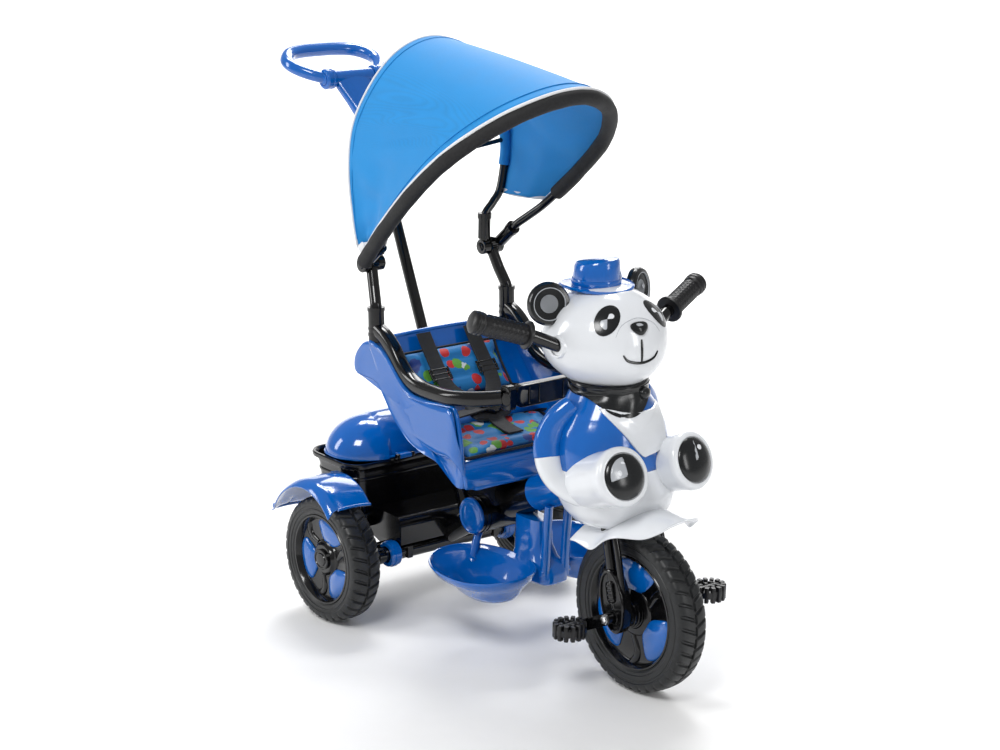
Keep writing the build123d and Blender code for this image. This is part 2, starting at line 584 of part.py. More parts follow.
with BuildPart() as front_bow:
    bow(FRONT_BOW, FRONT_PLANE, FRONT_LUG_Y)
front_bow.part.label = "front_bow"
export_step(front_bow.part, "parts/front_bow.step")

with BuildPart() as bow_foam:
    bent_bar(bow_points(FRONT_ARCH, FOAM_FOOT + FRONT_ARCH, FRONT_PLANE), 22, FOAM_RADIUS)
    add(front_bow.part, mode=Mode.SUBTRACT)
bow_foam.part.label = "bow_foam"
export_step(bow_foam.part, "parts/bow_foam.step")

REAR_EDGE = [(152, 100), (160, 160), (153, 222), (121, 279), (79, 323), (28, 346)]
FRONT_EDGE = [(165, 138), (172, 215), (165, 302), (141, 368), (97, 426), (32, 466)]
RIGHT_FOOT = ((-140, 26), (-150, 40))     # the cloth's lower corners on the right: rear edge, front edge
CLOTH = 2.5


def canopy_body(shrink, mode=Mode.ADD):
    """Add or cut the body between the canopy's rear and front edges."""
    faces = []
    for edge, plane, (foot_y, foot_s) in (
            (REAR_EDGE, REAR_PLANE.offset(-10), RIGHT_FOOT[0]),
            (FRONT_EDGE, FRONT_PLANE.offset(-16), RIGHT_FOOT[1])):
        with BuildSketch(plane) as arch:
            with BuildLine():
                up = [(w - shrink, s - (shrink if s > 250 else 0)) for w, s in edge]
                down = [(-w, s) for w, s in reversed(up)] + [(foot_y + shrink, foot_s)]
                crown = Spline(*(up + down))
                Polyline(crown @ 1, (down[-1][0], down[-1][1] - shrink * 8 - 1),
                         (up[0][0], up[0][1] - shrink * 8 - 1), crown @ 0)
            make_face()
        faces.append(arch.sketch)
    loft(faces, ruled=True, mode=mode)


with BuildPart() as canopy_fabric:
    canopy_body(0)
    canopy_body(CLOTH, mode=Mode.SUBTRACT)
canopy_fabric.part.label = "canopy_fabric"
export_step(canopy_fabric.part, "parts/canopy_fabric.step")

# ---------------------------------------------------------------- parent handle
PUSH_RADIUS = 9.5
lean = radians(PUSH_LEAN)


def up_push(z):
    """A point on the push tube's axis at a height."""
    return Vector(station(-37) - (z - 438) * tan(lean), 0, z)


HANDLE_X, HANDLE_Z, HANDLE_TILT = station(-245), 840.0, 20.0
with BuildPart() as push_socket:
    rod(up_push(160), up_push(428), 14)
    rod(up_push(428), up_push(446), 17)
    drill(up_push(190), up_push(460), PUSH_RADIUS + FIT)
    add(frame_solid.part, mode=Mode.SUBTRACT)
    add(seat_shell.part, mode=Mode.SUBTRACT)
push_socket.part.label = "push_socket"
export_step(push_socket.part, "parts/push_socket.step")

neck_way = (Vector(HANDLE_X, 0, HANDLE_Z) - up_push(752)).normalized()
with BuildPart() as push_tube:
    bored_rod(up_push(300), up_push(752), PUSH_RADIUS, PUSH_RADIUS - 1.5)
push_tube.part.label = "push_tube"
export_step(push_tube.part, "parts/push_tube.step")

with BuildPart() as handle_neck:
    with BuildSketch(Plane(origin=up_push(752), x_dir=(0, 1, 0), z_dir=neck_way)) as low:
        Ellipse(13, 12)
    with BuildSketch(Plane(origin=Vector(HANDLE_X, 0, HANDLE_Z) - neck_way * 8, x_dir=(0, 1, 0),
                           z_dir=neck_way)) as high:
        Ellipse(39, 13)
    loft([low.sketch, high.sketch])
    rod((HANDLE_X, -39, HANDLE_Z), (HANDLE_X, 39, HANDLE_Z), 13)
    rod((HANDLE_X, -56, HANDLE_Z), (HANDLE_X, 56, HANDLE_Z), 5)
    drill(up_push(700), up_push(752), PUSH_RADIUS)
handle_neck.part.label = "handle_neck"
export_step(handle_neck.part, "parts/handle_neck.step")

LOOP_REACH, LOOP_HALF, KNOB_Y = 103.0, 90.0, 48.5
loop_tilt = radians(HANDLE_TILT)
HANDLE_PLANE = Plane(origin=(HANDLE_X, 0, HANDLE_Z), x_dir=(-cos(loop_tilt), 0, sin(loop_tilt)),
                     z_dir=(-sin(loop_tilt), 0, -cos(loop_tilt)))
LOOP_LINE = [(0, KNOB_Y), (26, 76), (60, LOOP_HALF), (92, 68), (LOOP_REACH, 30)]
with BuildPart() as handle_loop:
    right_side = [HANDLE_PLANE.from_local_coords(Vector(r, w, 0)) for r, w in LOOP_LINE]
    left_side = [HANDLE_PLANE.from_local_coords(Vector(r, -w, 0)) for r, w in reversed(LOOP_LINE)]
    bent_bar(right_side + left_side, 24, 11)
    for side in (-1, 1):
        rod((HANDLE_X, side * (KNOB_Y - 9), HANDLE_Z), (HANDLE_X, side * (KNOB_Y + 9), HANDLE_Z), 17)
    drill((HANDLE_X, -56.5, HANDLE_Z), (HANDLE_X, 56.5, HANDLE_Z), 5 + FIT)
    drill((HANDLE_X, -39.5, HANDLE_Z), (HANDLE_X, 39.5, HANDLE_Z), 30)
handle_loop.part.label = "handle_loop"
export_step(handle_loop.part, "parts/handle_loop.step")

# ---------------------------------------------------------------- footrest
DISH_X, DISH_Y, DISH_Z = station(250), 98.0, 140.0
DISH_LENGTH, DISH_WIDTH, DISH_DEPTH, DISH_WALL = 90.0, 76.0, 50.0, 3.5
POST_FOOT, POST_TOP = (184.0, 66.0, 114.5), (176.0, 42.0, 176.0)


def dishes(inset, mode=Mode.ADD):
    """Add or cut both dishes as eggs, before they are cut off at their rims."""
    for side in (-1, 1):
        egg((DISH_X, side * DISH_Y, DISH_Z), DISH_LENGTH - inset, DISH_WIDTH - inset,
            DISH_DEPTH - inset, mode=mode)


with BuildPart() as footrest:
    dishes(0)
    split(bisect_by=Plane.XY.offset(DISH_Z), keep=Keep.BOTTOM)
    with Locations((station(272), 0, 125)):
        Box(98, 60, 30)
    dishes(DISH_WALL, mode=Mode.SUBTRACT)
    with Locations((station(256), 0, 165)):
        Box(62, 40, 110)
    for side in (-1, 1):
        rod((station(310), side * 20, 120), (station(316), side * 20, 250), 9)
        rod((station(POST_FOOT[0]), side * POST_FOOT[1], POST_FOOT[2]),
            (station(POST_TOP[0]), side * POST_TOP[1], POST_TOP[2]), 6)
    add(frame_solid.part, mode=Mode.SUBTRACT)
    add(tube_cover.part, mode=Mode.SUBTRACT)
    add(tube_sleeve.part, mode=Mode.SUBTRACT)
    drill(up_tube(0), up_tube(SLEEVE_END + 40), COVER_BORE)
    drill((BARREL_X, -80, BARREL_Z), (BARREL_X, 80, BARREL_Z), BARREL_RADIUS)
footrest.part.label = "footrest"
export_step(footrest.part, "parts/footrest.step")

# ---------------------------------------------------------------- fork and handlebar
LEG_Y, LEG_RADIUS = 43.5, 8.5
COVER_HALF = 9.2
CROWN_LOW, CROWN_HIGH = 158.0, 174.0
BAR_CENTER = Vector(station(416), 0, 530)
with BuildPart() as fork:
    for side in (-1, 1):
        rod(steer(-12, 0, side * LEG_Y), steer(CROWN_HIGH, 0, side * LEG_Y), LEG_RADIUS)
    with BuildSketch(Plane(origin=steer(CROWN_LOW), x_dir=(0, 1, 0), z_dir=steer(1) - steer(0))) as crown:
        SlotOverall(2 * LEG_Y + 24, 34)
    extrude(crown.sketch, amount=CROWN_HIGH - CROWN_LOW)
    rod(steer(CROWN_LOW), steer(HEAD_HIGH + 34), STEERER)
    drill((axle_x, -100, FRONT_RADIUS), (axle_x, 100, FRONT_RADIUS), AXLE_ROD + FIT)
fork.part.label = "fork"
export_step(fork.part, "parts/fork.step")

with BuildPart() as fork_covers:
    for side in (-1, 1):
        cover_plane = Plane(origin=steer(24, 0, side * LEG_Y + COVER_HALF), x_dir=steer(1) - steer(0),
                            z_dir=(0, -1, 0))
        with BuildSketch(cover_plane) as cover:
            Ellipse(50, 25)
        extrude(cover.sketch, amount=2 * COVER_HALF)
    add(fork.part, mode=Mode.SUBTRACT)
    drill((axle_x, -100, FRONT_RADIUS), (axle_x, 100, FRONT_RADIUS), AXLE_ROD + 1)
fork_covers.part.label = "fork_covers"
export_step(fork_covers.part, "parts/fork_covers.step")

with BuildPart() as handlebar:
    bent_bar([(station(374), 220, 576), (station(403), 130, 547), (BAR_CENTER.X, 92, BAR_CENTER.Z),
              (BAR_CENTER.X, -92, BAR_CENTER.Z), (station(403), -130, 547), (station(374), -220, 576)],
             30, 10)
handlebar.part.label = "handlebar"
export_step(handlebar.part, "parts/handlebar.step")

with BuildPart() as stem:
    rod(steer(HEAD_HIGH + 2), steer(398), 17)
    with Locations(BAR_CENTER):
        Box(44, 40, 40)
    drill(steer(HEAD_HIGH), steer(HEAD_HIGH + 34), STEERER)
    add(handlebar.part, mode=Mode.SUBTRACT)
stem.part.label = "stem"
export_step(stem.part, "parts/stem.step")

with BuildPart() as grips:
    for side in (-1, 1):
        inner_end = Vector(station(403), side * 130, 547)
        outer_end = Vector(station(374), side * 220, 576)
        way = (outer_end - inner_end).normalized()
        rod(inner_end + way * 12, outer_end + way * 6, 15)
        rod(inner_end + way * 12, inner_end + way * 17, 21)
        rod(outer_end - way * 10, outer_end + way * 8, 18)
    add(handlebar.part, mode=Mode.SUBTRACT)
grips.part.label = "grips"
export_step(grips.part, "parts/grips.step")

# ---------------------------------------------------------------- panda figure
SKIN = 3.5
TORSO = [(station(432), 345, 76, 96), (station(430), 375, 73, 94), (station(427), 410, 70, 86),
         (station(424), 440, 58, 64)]
LOWER = [(station(452), 262, 62, 72), (station(446), 300, 80, 92), (station(432), 345, 76, 96)]
SLOT_HALF = 72.0              # half width of the slot that the main tube swings in
HEAD_CENTER = Vector(station(411), 0, 533)

with BuildPart() as torso_solid:
    oval_loft(TORSO)
with BuildPart() as lower_solid:
    oval_loft(LOWER)
with BuildPart() as head_solid:
    egg(HEAD_CENTER, 95, 95, 78)
    egg(HEAD_CENTER + Vector(46, 0, -20), 46, 56, 42)

with BuildPart() as panda_torso:
    add(torso_solid.part)
    oval_loft([(x, z, a - SKIN, b - SKIN) for x, z, a, b in TORSO], mode=Mode.SUBTRACT)
panda_torso.part.label = "panda_torso"
export_step(panda_torso.part, "parts/panda_torso.step")

with BuildPart() as panda_legs:
    for side in (-1, 1):
        rod((station(452), side * 62, 328), (station(542), side * 70, 357), 44)
    add(torso_solid.part, mode=Mode.SUBTRACT)
    add(lower_solid.part)
    oval_loft([(x, z, a - SKIN, b - SKIN) for x, z, a, b in LOWER], mode=Mode.SUBTRACT)
    with Locations((station(380), 0, 300)):
        Box(120, 2 * SLOT_HALF, 83, mode=Mode.SUBTRACT)
panda_legs.part.label = "panda_legs"
export_step(panda_legs.part, "parts/panda_legs.step")

with BuildPart() as panda_arms:
    for side in (-1, 1):
        egg((station(424), side * 86, 385), 30, 22, 56)
    add(torso_solid.part, mode=Mode.SUBTRACT)
    add(lower_solid.part, mode=Mode.SUBTRACT)
    add(panda_legs.part, mode=Mode.SUBTRACT)
panda_arms.part.label = "panda_arms"
export_step(panda_arms.part, "parts/panda_arms.step")

SKIRT_TOP = [(418, 232), (440, 262), (500, 284), (560, 288), (612, 300)]
with BuildPart() as panda_skirt:
    with BuildSketch(side_plane(68)) as visor:
        with BuildLine():
            over = Spline(*[(station(s), z) for s, z in SKIRT_TOP])
            below = Spline(*[(station(s), z - 3) for s, z in SKIRT_TOP])
            Line(over @ 0, below @ 0)
            Line(over @ 1, below @ 1)
        make_face()
    extrude(visor.sketch, amount=136)
    for side in (-1, 1):
        side_y = side * 66 + 2
        with BuildSketch(side_plane(side_y)) as apron:
            with BuildLine():
                Polyline((station(419), 230), (station(470), 223), (station(494), 262), (station(560), 264),
                         (station(596), 290), (station(560), 286), (station(500), 282), (station(441), 260),
                         close=True)
            make_face()
        extrude(apron.sketch, amount=4)
    add(fork.part, mode=Mode.SUBTRACT)
    add(lower_solid.part, mode=Mode.SUBTRACT)
panda_skirt.part.label = "panda_skirt"
export_step(panda_skirt.part, "parts/panda_skirt.step")

with BuildPart() as panda_head:
    add(head_solid.part)
    for side in (-1, 1):
        rod((BAR_CENTER.X, side * 80, BAR_CENTER.Z), (BAR_CENTER.X, side * 100, BAR_CENTER.Z), 15)
    egg(HEAD_CENTER, 95 - SKIN, 95 - SKIN, 78 - SKIN, mode=Mode.SUBTRACT)
    add(handlebar.part, mode=Mode.SUBTRACT)
    add(stem.part, mode=Mode.SUBTRACT)
panda_head.part.label = "panda_head"
export_step(panda_head.part, "parts/panda_head.step")

with BuildPart() as panda_scarf:
    oval_loft([(station(424), 440.5, 62, 68), (station(420), 470, 54, 58)])
    add(head_solid.part, mode=Mode.SUBTRACT)
    oval_loft([(station(424), 440.5, 56, 62), (station(420), 470, 48, 52)], mode=Mode.SUBTRACT)
panda_scarf.part.label = "panda_scarf"
export_step(panda_scarf.part, "parts/panda_scarf.step")

EAR_RADIUS, EAR_THICK = 33.0, 15.0
with BuildPart() as panda_ears:
    for side in (-1, 1):
        facing = Vector(1, side * 0.5, 0.1).normalized()
        center = Vector(station(390), side * 92, 590)
        rod(center - facing * EAR_THICK * 0.6, center + facing * EAR_THICK * 0.4, EAR_RADIUS)
    add(head_solid.part, mode=Mode.SUBTRACT)
panda_ears.part.label = "panda_ears"
export_step(panda_ears.part, "parts/panda_ears.step")

with BuildPart() as panda_hat:
    with BuildSketch(Plane(origin=(station(385), 0, 600))) as brim:
        Circle(58)
    extrude(brim.sketch, amount=11)
    with BuildSketch(Plane(origin=(station(385), 0, 611))) as band:
        Circle(37)
    extrude(band.sketch, amount=39, taper=5)
    add(head_solid.part, mode=Mode.SUBTRACT)
panda_hat.part.label = "panda_hat"
export_step(panda_hat.part, "parts/panda_hat.step")
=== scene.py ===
"""Looks of a children's tricycle with a panda front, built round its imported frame.

Lengths inside the classes are millimetres, set out as stations in front of the rear axle,
the side towards the child's left, and the height above the floor.  Meshes are metres.
"""
import logging
from dataclasses import dataclass, field
from enum import Enum
from math import cos, exp, log1p, pi, radians, sin, sqrt, tau
from typing import Callable, Optional, Sequence

import bmesh
import bpy
from mathutils import Matrix, Vector


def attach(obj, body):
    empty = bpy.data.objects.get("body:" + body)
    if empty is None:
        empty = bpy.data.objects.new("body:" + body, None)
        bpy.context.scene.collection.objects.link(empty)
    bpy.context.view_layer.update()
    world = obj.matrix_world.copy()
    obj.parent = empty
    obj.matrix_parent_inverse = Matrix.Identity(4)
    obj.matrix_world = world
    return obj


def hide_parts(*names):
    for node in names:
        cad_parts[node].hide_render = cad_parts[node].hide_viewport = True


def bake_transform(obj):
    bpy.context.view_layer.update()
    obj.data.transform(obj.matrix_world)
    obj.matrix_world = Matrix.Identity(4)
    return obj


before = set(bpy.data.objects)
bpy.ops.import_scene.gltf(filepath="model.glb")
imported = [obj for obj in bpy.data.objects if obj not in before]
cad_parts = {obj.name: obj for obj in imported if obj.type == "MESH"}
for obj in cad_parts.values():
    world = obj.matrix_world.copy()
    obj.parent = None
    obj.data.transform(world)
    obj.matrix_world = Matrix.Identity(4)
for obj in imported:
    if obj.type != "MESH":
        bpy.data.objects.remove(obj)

logging.basicConfig(level=logging.INFO, format="%(message)s")
LOG = logging.getLogger("tricycle")
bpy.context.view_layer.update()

MM = 0.001
REAR_AXLE_X = -141.0
RAKE = radians(14.2)
FRONT_AXLE = (510.0, 125.0)
Rings = list[list[Vector]]
Flat = list[tuple[float, float]]


class Side(Enum):
    """The child's right or left, as the sign of Y."""

    RIGHT = -1
    LEFT = 1

    @property
    def word(self) -> str:
        """The side's name in lower case."""
        return self.name.lower()


class Shading(Enum):
    """How a mesh's faces meet in the light: the angle above which an edge is sharp."""

    SMOOTH = 180
    CRISP = 34


def at(station: float, side: float, height: float) -> Vector:
    """A point of the row frame in metres from a station, a side and a height."""
    return Vector((REAR_AXLE_X + station, side, height)) * MM


def steer(along: float, ahead: float = 0.0, side: float = 0.0) -> Vector:
    """A point in metres at a distance up the steering axis from the front axle."""
    x = FRONT_AXLE[0] - along * sin(RAKE) + ahead * cos(RAKE)
    return at(x, side, FRONT_AXLE[1] + along * cos(RAKE) + ahead * sin(RAKE))


def curve_through(points: Sequence[Vector], per: int = 8, closed: bool = False) -> list[Vector]:
    """Points along a smooth curve that passes through the given ones.

    Args:
        points: the points to pass through.
        per: how many points each stretch gets.
        closed: whether the curve runs back to its start.

    Returns:
        The curve's points; an open curve keeps both ends.
    """
    count, out = len(points), []
    for i in range(count if closed else count - 1):
        if closed:
            p = [points[(i + k) % count] for k in (-1, 0, 1, 2)]
        else:
            p = [points[max(0, min(count - 1, i + k))] for k in (-1, 0, 1, 2)]
        for step in range(per):
            t = step / per
            out.append(0.5 * (2 * p[1] + (p[2] - p[0]) * t
                              + (2 * p[0] - 5 * p[1] + 4 * p[2] - p[3]) * t ** 2
                              + (3 * p[1] - p[0] - 3 * p[2] + p[3]) * t ** 3))
    if not closed:
        out.append(points[-1].copy())
    return out


def flat_curve(points: Flat, per: int = 6, closed: bool = True) -> Flat:
    """A smooth curve through points of a plane, as pairs."""
    smooth = curve_through([Vector((a, b, 0)) for a, b in points], per, closed)
    return [(p.x, p.y) for p in smooth]


def oval(half_a: float, half_b: float, steps: int = 32, power: float = 2.0) -> Flat:
    """A closed oval in a plane, squarer as the power rises above 2."""
    out = []
    for i in range(steps):
        c, s = cos(tau * i / steps), sin(tau * i / steps)
        out.append((half_a * abs(c) ** (2 / power) * (1 if c >= 0 else -1),
                    half_b * abs(s) ** (2 / power) * (1 if s >= 0 else -1)))
    return out


def rounded_rect(length: float, width: float, corner: float, steps: int = 7) -> Flat:
    """A closed rectangle with rounded corners, centred on the origin."""
    out = []
    for k, (sx, sy) in enumerate(((1, 1), (-1, 1), (-1, -1), (1, -1))):
        for i in range(steps + 1):
            a = pi / 2 * (k + i / steps)
            out.append((sx * (length / 2 - corner) + corner * cos(a),
                        sy * (width / 2 - corner) + corner * sin(a)))
    return out


@dataclass
class Shape:
    """A mesh in the making: vertices in metres and faces as index lists."""

    verts: list[Vector] = field(default_factory=list)
    faces: list[list[int]] = field(default_factory=list)

    def add(self, other: "Shape") -> "Shape":
        """Take in another shape's vertices and faces."""
        shift = len(self.verts)
        self.verts += other.verts
        self.faces += [[i + shift for i in face] for face in other.faces]
        return self

    def moved(self, matrix: Matrix) -> "Shape":
        """A copy of the shape carried by a matrix."""
        return Shape([matrix @ v for v in self.verts], [list(f) for f in self.faces])


def skin(rings: Rings, ring_closed: bool = True, joined: bool = False, capped: bool = True,
         keep: Optional[Callable[[Vector], bool]] = None) -> Shape:
    """A surface stretched over rings that have equally many points.

    Args:
        rings: the rows of points, in order.
        ring_closed: whether each row closes on itself.
        joined: whether the last row meets the first.
        capped: whether closed rows get a face over each end.
        keep: a test of a face's middle; faces that fail it are left out.

    Returns:
        The surface as a shape.
    """
    size, count = len(rings[0]), len(rings)
    verts = [p for ring in rings for p in ring]
    faces = []
    for i in range(count if joined else count - 1):
        for j in range(size if ring_closed else size - 1):
            a, b = i * size + j, i * size + (j + 1) % size
            c, d = ((i + 1) % count) * size + (j + 1) % size, ((i + 1) % count) * size + j
            faces.append([a, b, c, d])
    if ring_closed and capped and not joined:
        faces.append(list(range(size - 1, -1, -1)))
        faces.append([(count - 1) * size + j for j in range(size)])
    if keep is not None:
        faces = [f for f in faces if keep(sum((verts[i] for i in f), Vector()) / len(f))]
    return Shape(verts, faces)


def sweep(path: Sequence[Vector], section: Flat, up: Vector = Vector((0, 0, 1)), closed: bool = False,
          swell: Optional[Callable[[float], float]] = None, capped: bool = True) -> Shape:
    """A bar of one section that follows a path without twisting.

    Args:
        path: the points of the bar's middle line, in metres.
        section: the section's outline, in millimetres.
        up: the direction that the section's second axis leans towards at the start.
        closed: whether the path is a loop.
        swell: the section's size at a share of the way, 1 for as given.
        capped: whether an open bar's ends are closed.

    Returns:
        The bar as a shape.
    """
    rings, normal = [], None
    for i, p in enumerate(path):
        before = path[i - 1] if i or closed else path[0]
        after = path[(i + 1) % len(path)] if closed or i < len(path) - 1 else path[-1]
        way = (after - before).normalized()
        normal = up if normal is None else normal
        normal = (normal - way * normal.dot(way)).normalized()
        across = way.cross(normal)
        size = MM * (swell(i / (len(path) - 1)) if swell else 1.0)
        rings.append([p + (across * a + normal * b) * size for a, b in section])
    return skin(rings, joined=closed, capped=capped)


def turned(profile: Flat, centre: Vector, axis: Vector, steps: int = 64, closed: bool = True) -> Shape:
    """A body of revolution.

    Args:
        profile: its section, as (along the axis, radius) in millimetres.
        centre: the point of the axis where along is 0, in metres.
        axis: the direction of the axis.
        steps: how many turns of the section make the circle.
        closed: whether the profile is a closed loop.

    Returns:
        The body as a shape.
    """
    axis = axis.normalized()
    first = axis.orthogonal().normalized()
    second = axis.cross(first)
    rings = []
    for i in range(steps):
        spoke = first * cos(tau * i / steps) + second * sin(tau * i / steps)
        rings.append([centre + (axis * a + spoke * r) * MM for a, r in profile])
    return skin(rings, ring_closed=closed, joined=True, capped=False)


def boss(origin: Vector, across: Vector, outward: Vector, outline: Flat, profile: Flat) -> Shape:
    """A raised shape whose outline shrinks as it rises.

    Args:
        origin: the middle of its foot, in metres.
        across: the direction of the outline's first axis.
        outward: the direction in which it stands up.
        outline: its outline, in millimetres about the origin.
        profile: (share of the outline, height in millimetres) from the foot to the top.

    Returns:
        The shape, closed at both ends.
    """
    outward = outward.normalized()
    across = (across - outward * across.dot(outward)).normalized()
    second = outward.cross(across)
    rings = [[origin + (across * a * share + second * b * share + outward * h) * MM for a, b in outline]
             for share, h in profile]
    return skin(rings)


def block(centre: Vector, size: tuple[float, float, float], tilt: float = 0.0, corner: float = 0.3) -> Shape:
    """A block with rounded upright edges and eased ends.

    Args:
        centre: its middle, in metres.
        size: its lengths along X, Y and Z, in millimetres.
        tilt: its turn about Y, in degrees.
        corner: the corner radius over the smaller of its X and Z lengths.

    Returns:
        The block as a shape.
    """
    a, b, c = size
    ease = min(a, b, c) * 0.12
    turn = Matrix.Rotation(radians(tilt), 3, "Y")
    rings = []
    for y, inset in ((-b / 2, ease), (-b / 2 + ease, 0), (b / 2 - ease, 0), (b / 2, ease)):
        ring = rounded_rect(a - 2 * inset, c - 2 * inset, corner * min(a, c), 4)
        rings.append([centre + turn @ Vector((x, y, z)) * MM for x, z in ring])
    return skin(rings)


def smooth_step(x: float) -> float:
    """A rise from 0 to 1 that starts and ends gently."""
    x = max(0.0, min(1.0, x))
    return x * x * (3 - 2 * x)


# ---------------------------------------------------------------- shader node groups
class Nodes:
    """A small hand for wiring one node tree."""

    def __init__(self, tree: bpy.types.NodeTree) -> None:
        """Keep the tree that new nodes go into."""
        self.tree = tree

    def new(self, kind: str, **values: object) -> bpy.types.Node:
        """A node of a kind, with its properties or named inputs set.

        Args:
            kind: the node's type, such as ShaderNodeMath.
            values: properties of the node, or inputs whose spaces are underscores.

        Returns:
            The node.
        """
        node = self.tree.nodes.new(kind)
        for key, value in values.items():
            if hasattr(node, key):
                setattr(node, key, value)
            else:
                node.inputs[key.replace("_", " ")].default_value = value
        return node

    def link(self, source: bpy.types.NodeSocket, target: bpy.types.NodeSocket) -> None:
        """Join an output to an input."""
        self.tree.links.new(source, target)

    def math(self, operation: str, first: object, second: object = 0.0, third: object = 0.0):
        """A Math node's result; its inputs are sockets or numbers."""
        node = self.new("ShaderNodeMath", operation=operation)
        for socket, value in zip(node.inputs, (first, second, third)):
            if isinstance(value, bpy.types.NodeSocket):
                self.link(value, socket)
            else:
                socket.default_value = value
        return node.outputs[0]

    def mix(self, share: object, first: object, second: object) -> bpy.types.NodeSocket:
        """A colour between two others; each input is a socket or a value."""
        node = self.new("ShaderNodeMix", data_type="RGBA")
        for socket, value in zip((node.inputs[0], node.inputs[6], node.inputs[7]), (share, first, second)):
            if isinstance(value, bpy.types.NodeSocket):
                self.link(value, socket)
            else:
                socket.default_value = value
        return node.outputs[2]

    def noise(self, scale: object, detail: float = 3.0) -> bpy.types.NodeSocket:
        """A noise value over the object's own coordinates."""
        node = self.new("ShaderNodeTexNoise", Detail=detail)
        self.link(self.place(), node.inputs["Vector"])
        if isinstance(scale, bpy.types.NodeSocket):
            self.link(scale, node.inputs["Scale"])
        else:
            node.inputs["Scale"].default_value = scale
        return node.outputs["Fac"]

    def place(self) -> bpy.types.NodeSocket:
        """The object's own coordinates."""
        return self.new("ShaderNodeTexCoord").outputs["Object"]


def group(name: str, inputs: dict[str, object], outputs: dict[str, str]) -> tuple[bpy.types.NodeTree, Nodes]:
    """A shader node group with named sockets.

    Args:
        name: the group's name.
        inputs: each input's default; a tuple makes a colour.
        outputs: each output's socket type.

    Returns:
        The group's tree and a hand for wiring it.
    """
    tree = bpy.data.node_groups.new(name, "ShaderNodeTree")
    for label, value in inputs.items():
        kind = "NodeSocketColor" if isinstance(value, tuple) else "NodeSocketFloat"
        tree.interface.new_socket(label, in_out="INPUT", socket_type=kind).default_value = value
    for label, kind in outputs.items():
        tree.interface.new_socket(label, in_out="OUTPUT", socket_type=kind)
    return tree, Nodes(tree)


def wear_group() -> bpy.types.NodeTree:
    """Colour drift and a little dust and rubbing over a surface, with its roughness."""
    tree, hand = group("surface wear", {"Color": (0.5, 0.5, 0.5, 1.0), "Drift": 0.06, "Roughness": 0.3,
                                        "Rub": 0.08, "Scale": 30.0},
                       {"Color": "NodeSocketColor", "Roughness": "NodeSocketFloat"})
    given, out = hand.new("NodeGroupInput"), hand.new("NodeGroupOutput")
    broad = hand.noise(given.outputs["Scale"])
    fine = hand.noise(hand.math("MULTIPLY", given.outputs["Scale"], 9.0))
    light = hand.math("MULTIPLY", hand.math("SUBTRACT", broad, 0.5), given.outputs["Drift"])
    tone = hand.new("ShaderNodeHueSaturation")
    hand.link(given.outputs["Color"], tone.inputs["Color"])
    hand.link(hand.math("ADD", hand.math("MULTIPLY", light, 2.5), 1.0), tone.inputs["Value"])
    rub = hand.math("MULTIPLY", hand.math("SUBTRACT", fine, 0.45), given.outputs["Rub"])
    patch = hand.math("MULTIPLY", hand.math("SUBTRACT", broad, 0.5), given.outputs["Rub"])
    hand.link(tone.outputs[0], out.inputs["Color"])
    rough = hand.math("ADD", given.outputs["Roughness"], hand.math("ADD", rub, patch))
    hand.link(hand.math("MAXIMUM", rough, 0.04), out.inputs["Roughness"])
    return tree


def grain_group() -> bpy.types.NodeTree:
    """The fine relief of moulded plastic, paint or foam."""
    tree, hand = group("moulded grain", {"Scale": 400.0, "Waviness": 0.3}, {"Height": "NodeSocketFloat"})
    given, out = hand.new("NodeGroupInput"), hand.new("NodeGroupOutput")
    fine = hand.noise(given.outputs["Scale"], 4.0)
    wave = hand.noise(hand.math("MULTIPLY", given.outputs["Scale"], 0.04), 1.0)
    hand.link(hand.math("ADD", fine, hand.math("MULTIPLY", wave, given.outputs["Waviness"])),
              out.inputs["Height"])
    return tree


def weave_group() -> bpy.types.NodeTree:
    """Crossing threads: their relief, and a mask of the gaps between them, where cloths paint shade."""
    tree, hand = group("weave", {"Threads": 1200.0}, {"Height": "NodeSocketFloat", "Gap shade": "NodeSocketFloat"})
    given, out = hand.new("NodeGroupInput"), hand.new("NodeGroupOutput")
    split = hand.new("ShaderNodeSeparateXYZ")
    hand.link(hand.place(), split.inputs[0])
    along = hand.math("MULTIPLY",
                      hand.math("ADD", split.outputs[0], hand.math("MULTIPLY", split.outputs[2], 0.7)),
                      given.outputs["Threads"])
    side = hand.math("MULTIPLY", hand.math("SUBTRACT", split.outputs[1],
                                           hand.math("MULTIPLY", split.outputs[2], 0.7)),
                     given.outputs["Threads"])
    warp = hand.math("ABSOLUTE", hand.math("SINE", along))
    weft = hand.math("ABSOLUTE", hand.math("SINE", side))
    height = hand.math("MAXIMUM", warp, weft)
    hand.link(height, out.inputs["Height"])
    # painted shade: the mask of the gaps between the threads, which darkens the cloth's colour there
    hand.link(hand.math("SUBTRACT", 1.0, hand.math("MULTIPLY", warp, weft)), out.inputs["Gap shade"])
    return tree


WEAR, GRAIN, WEAVE = wear_group(), grain_group(), weave_group()


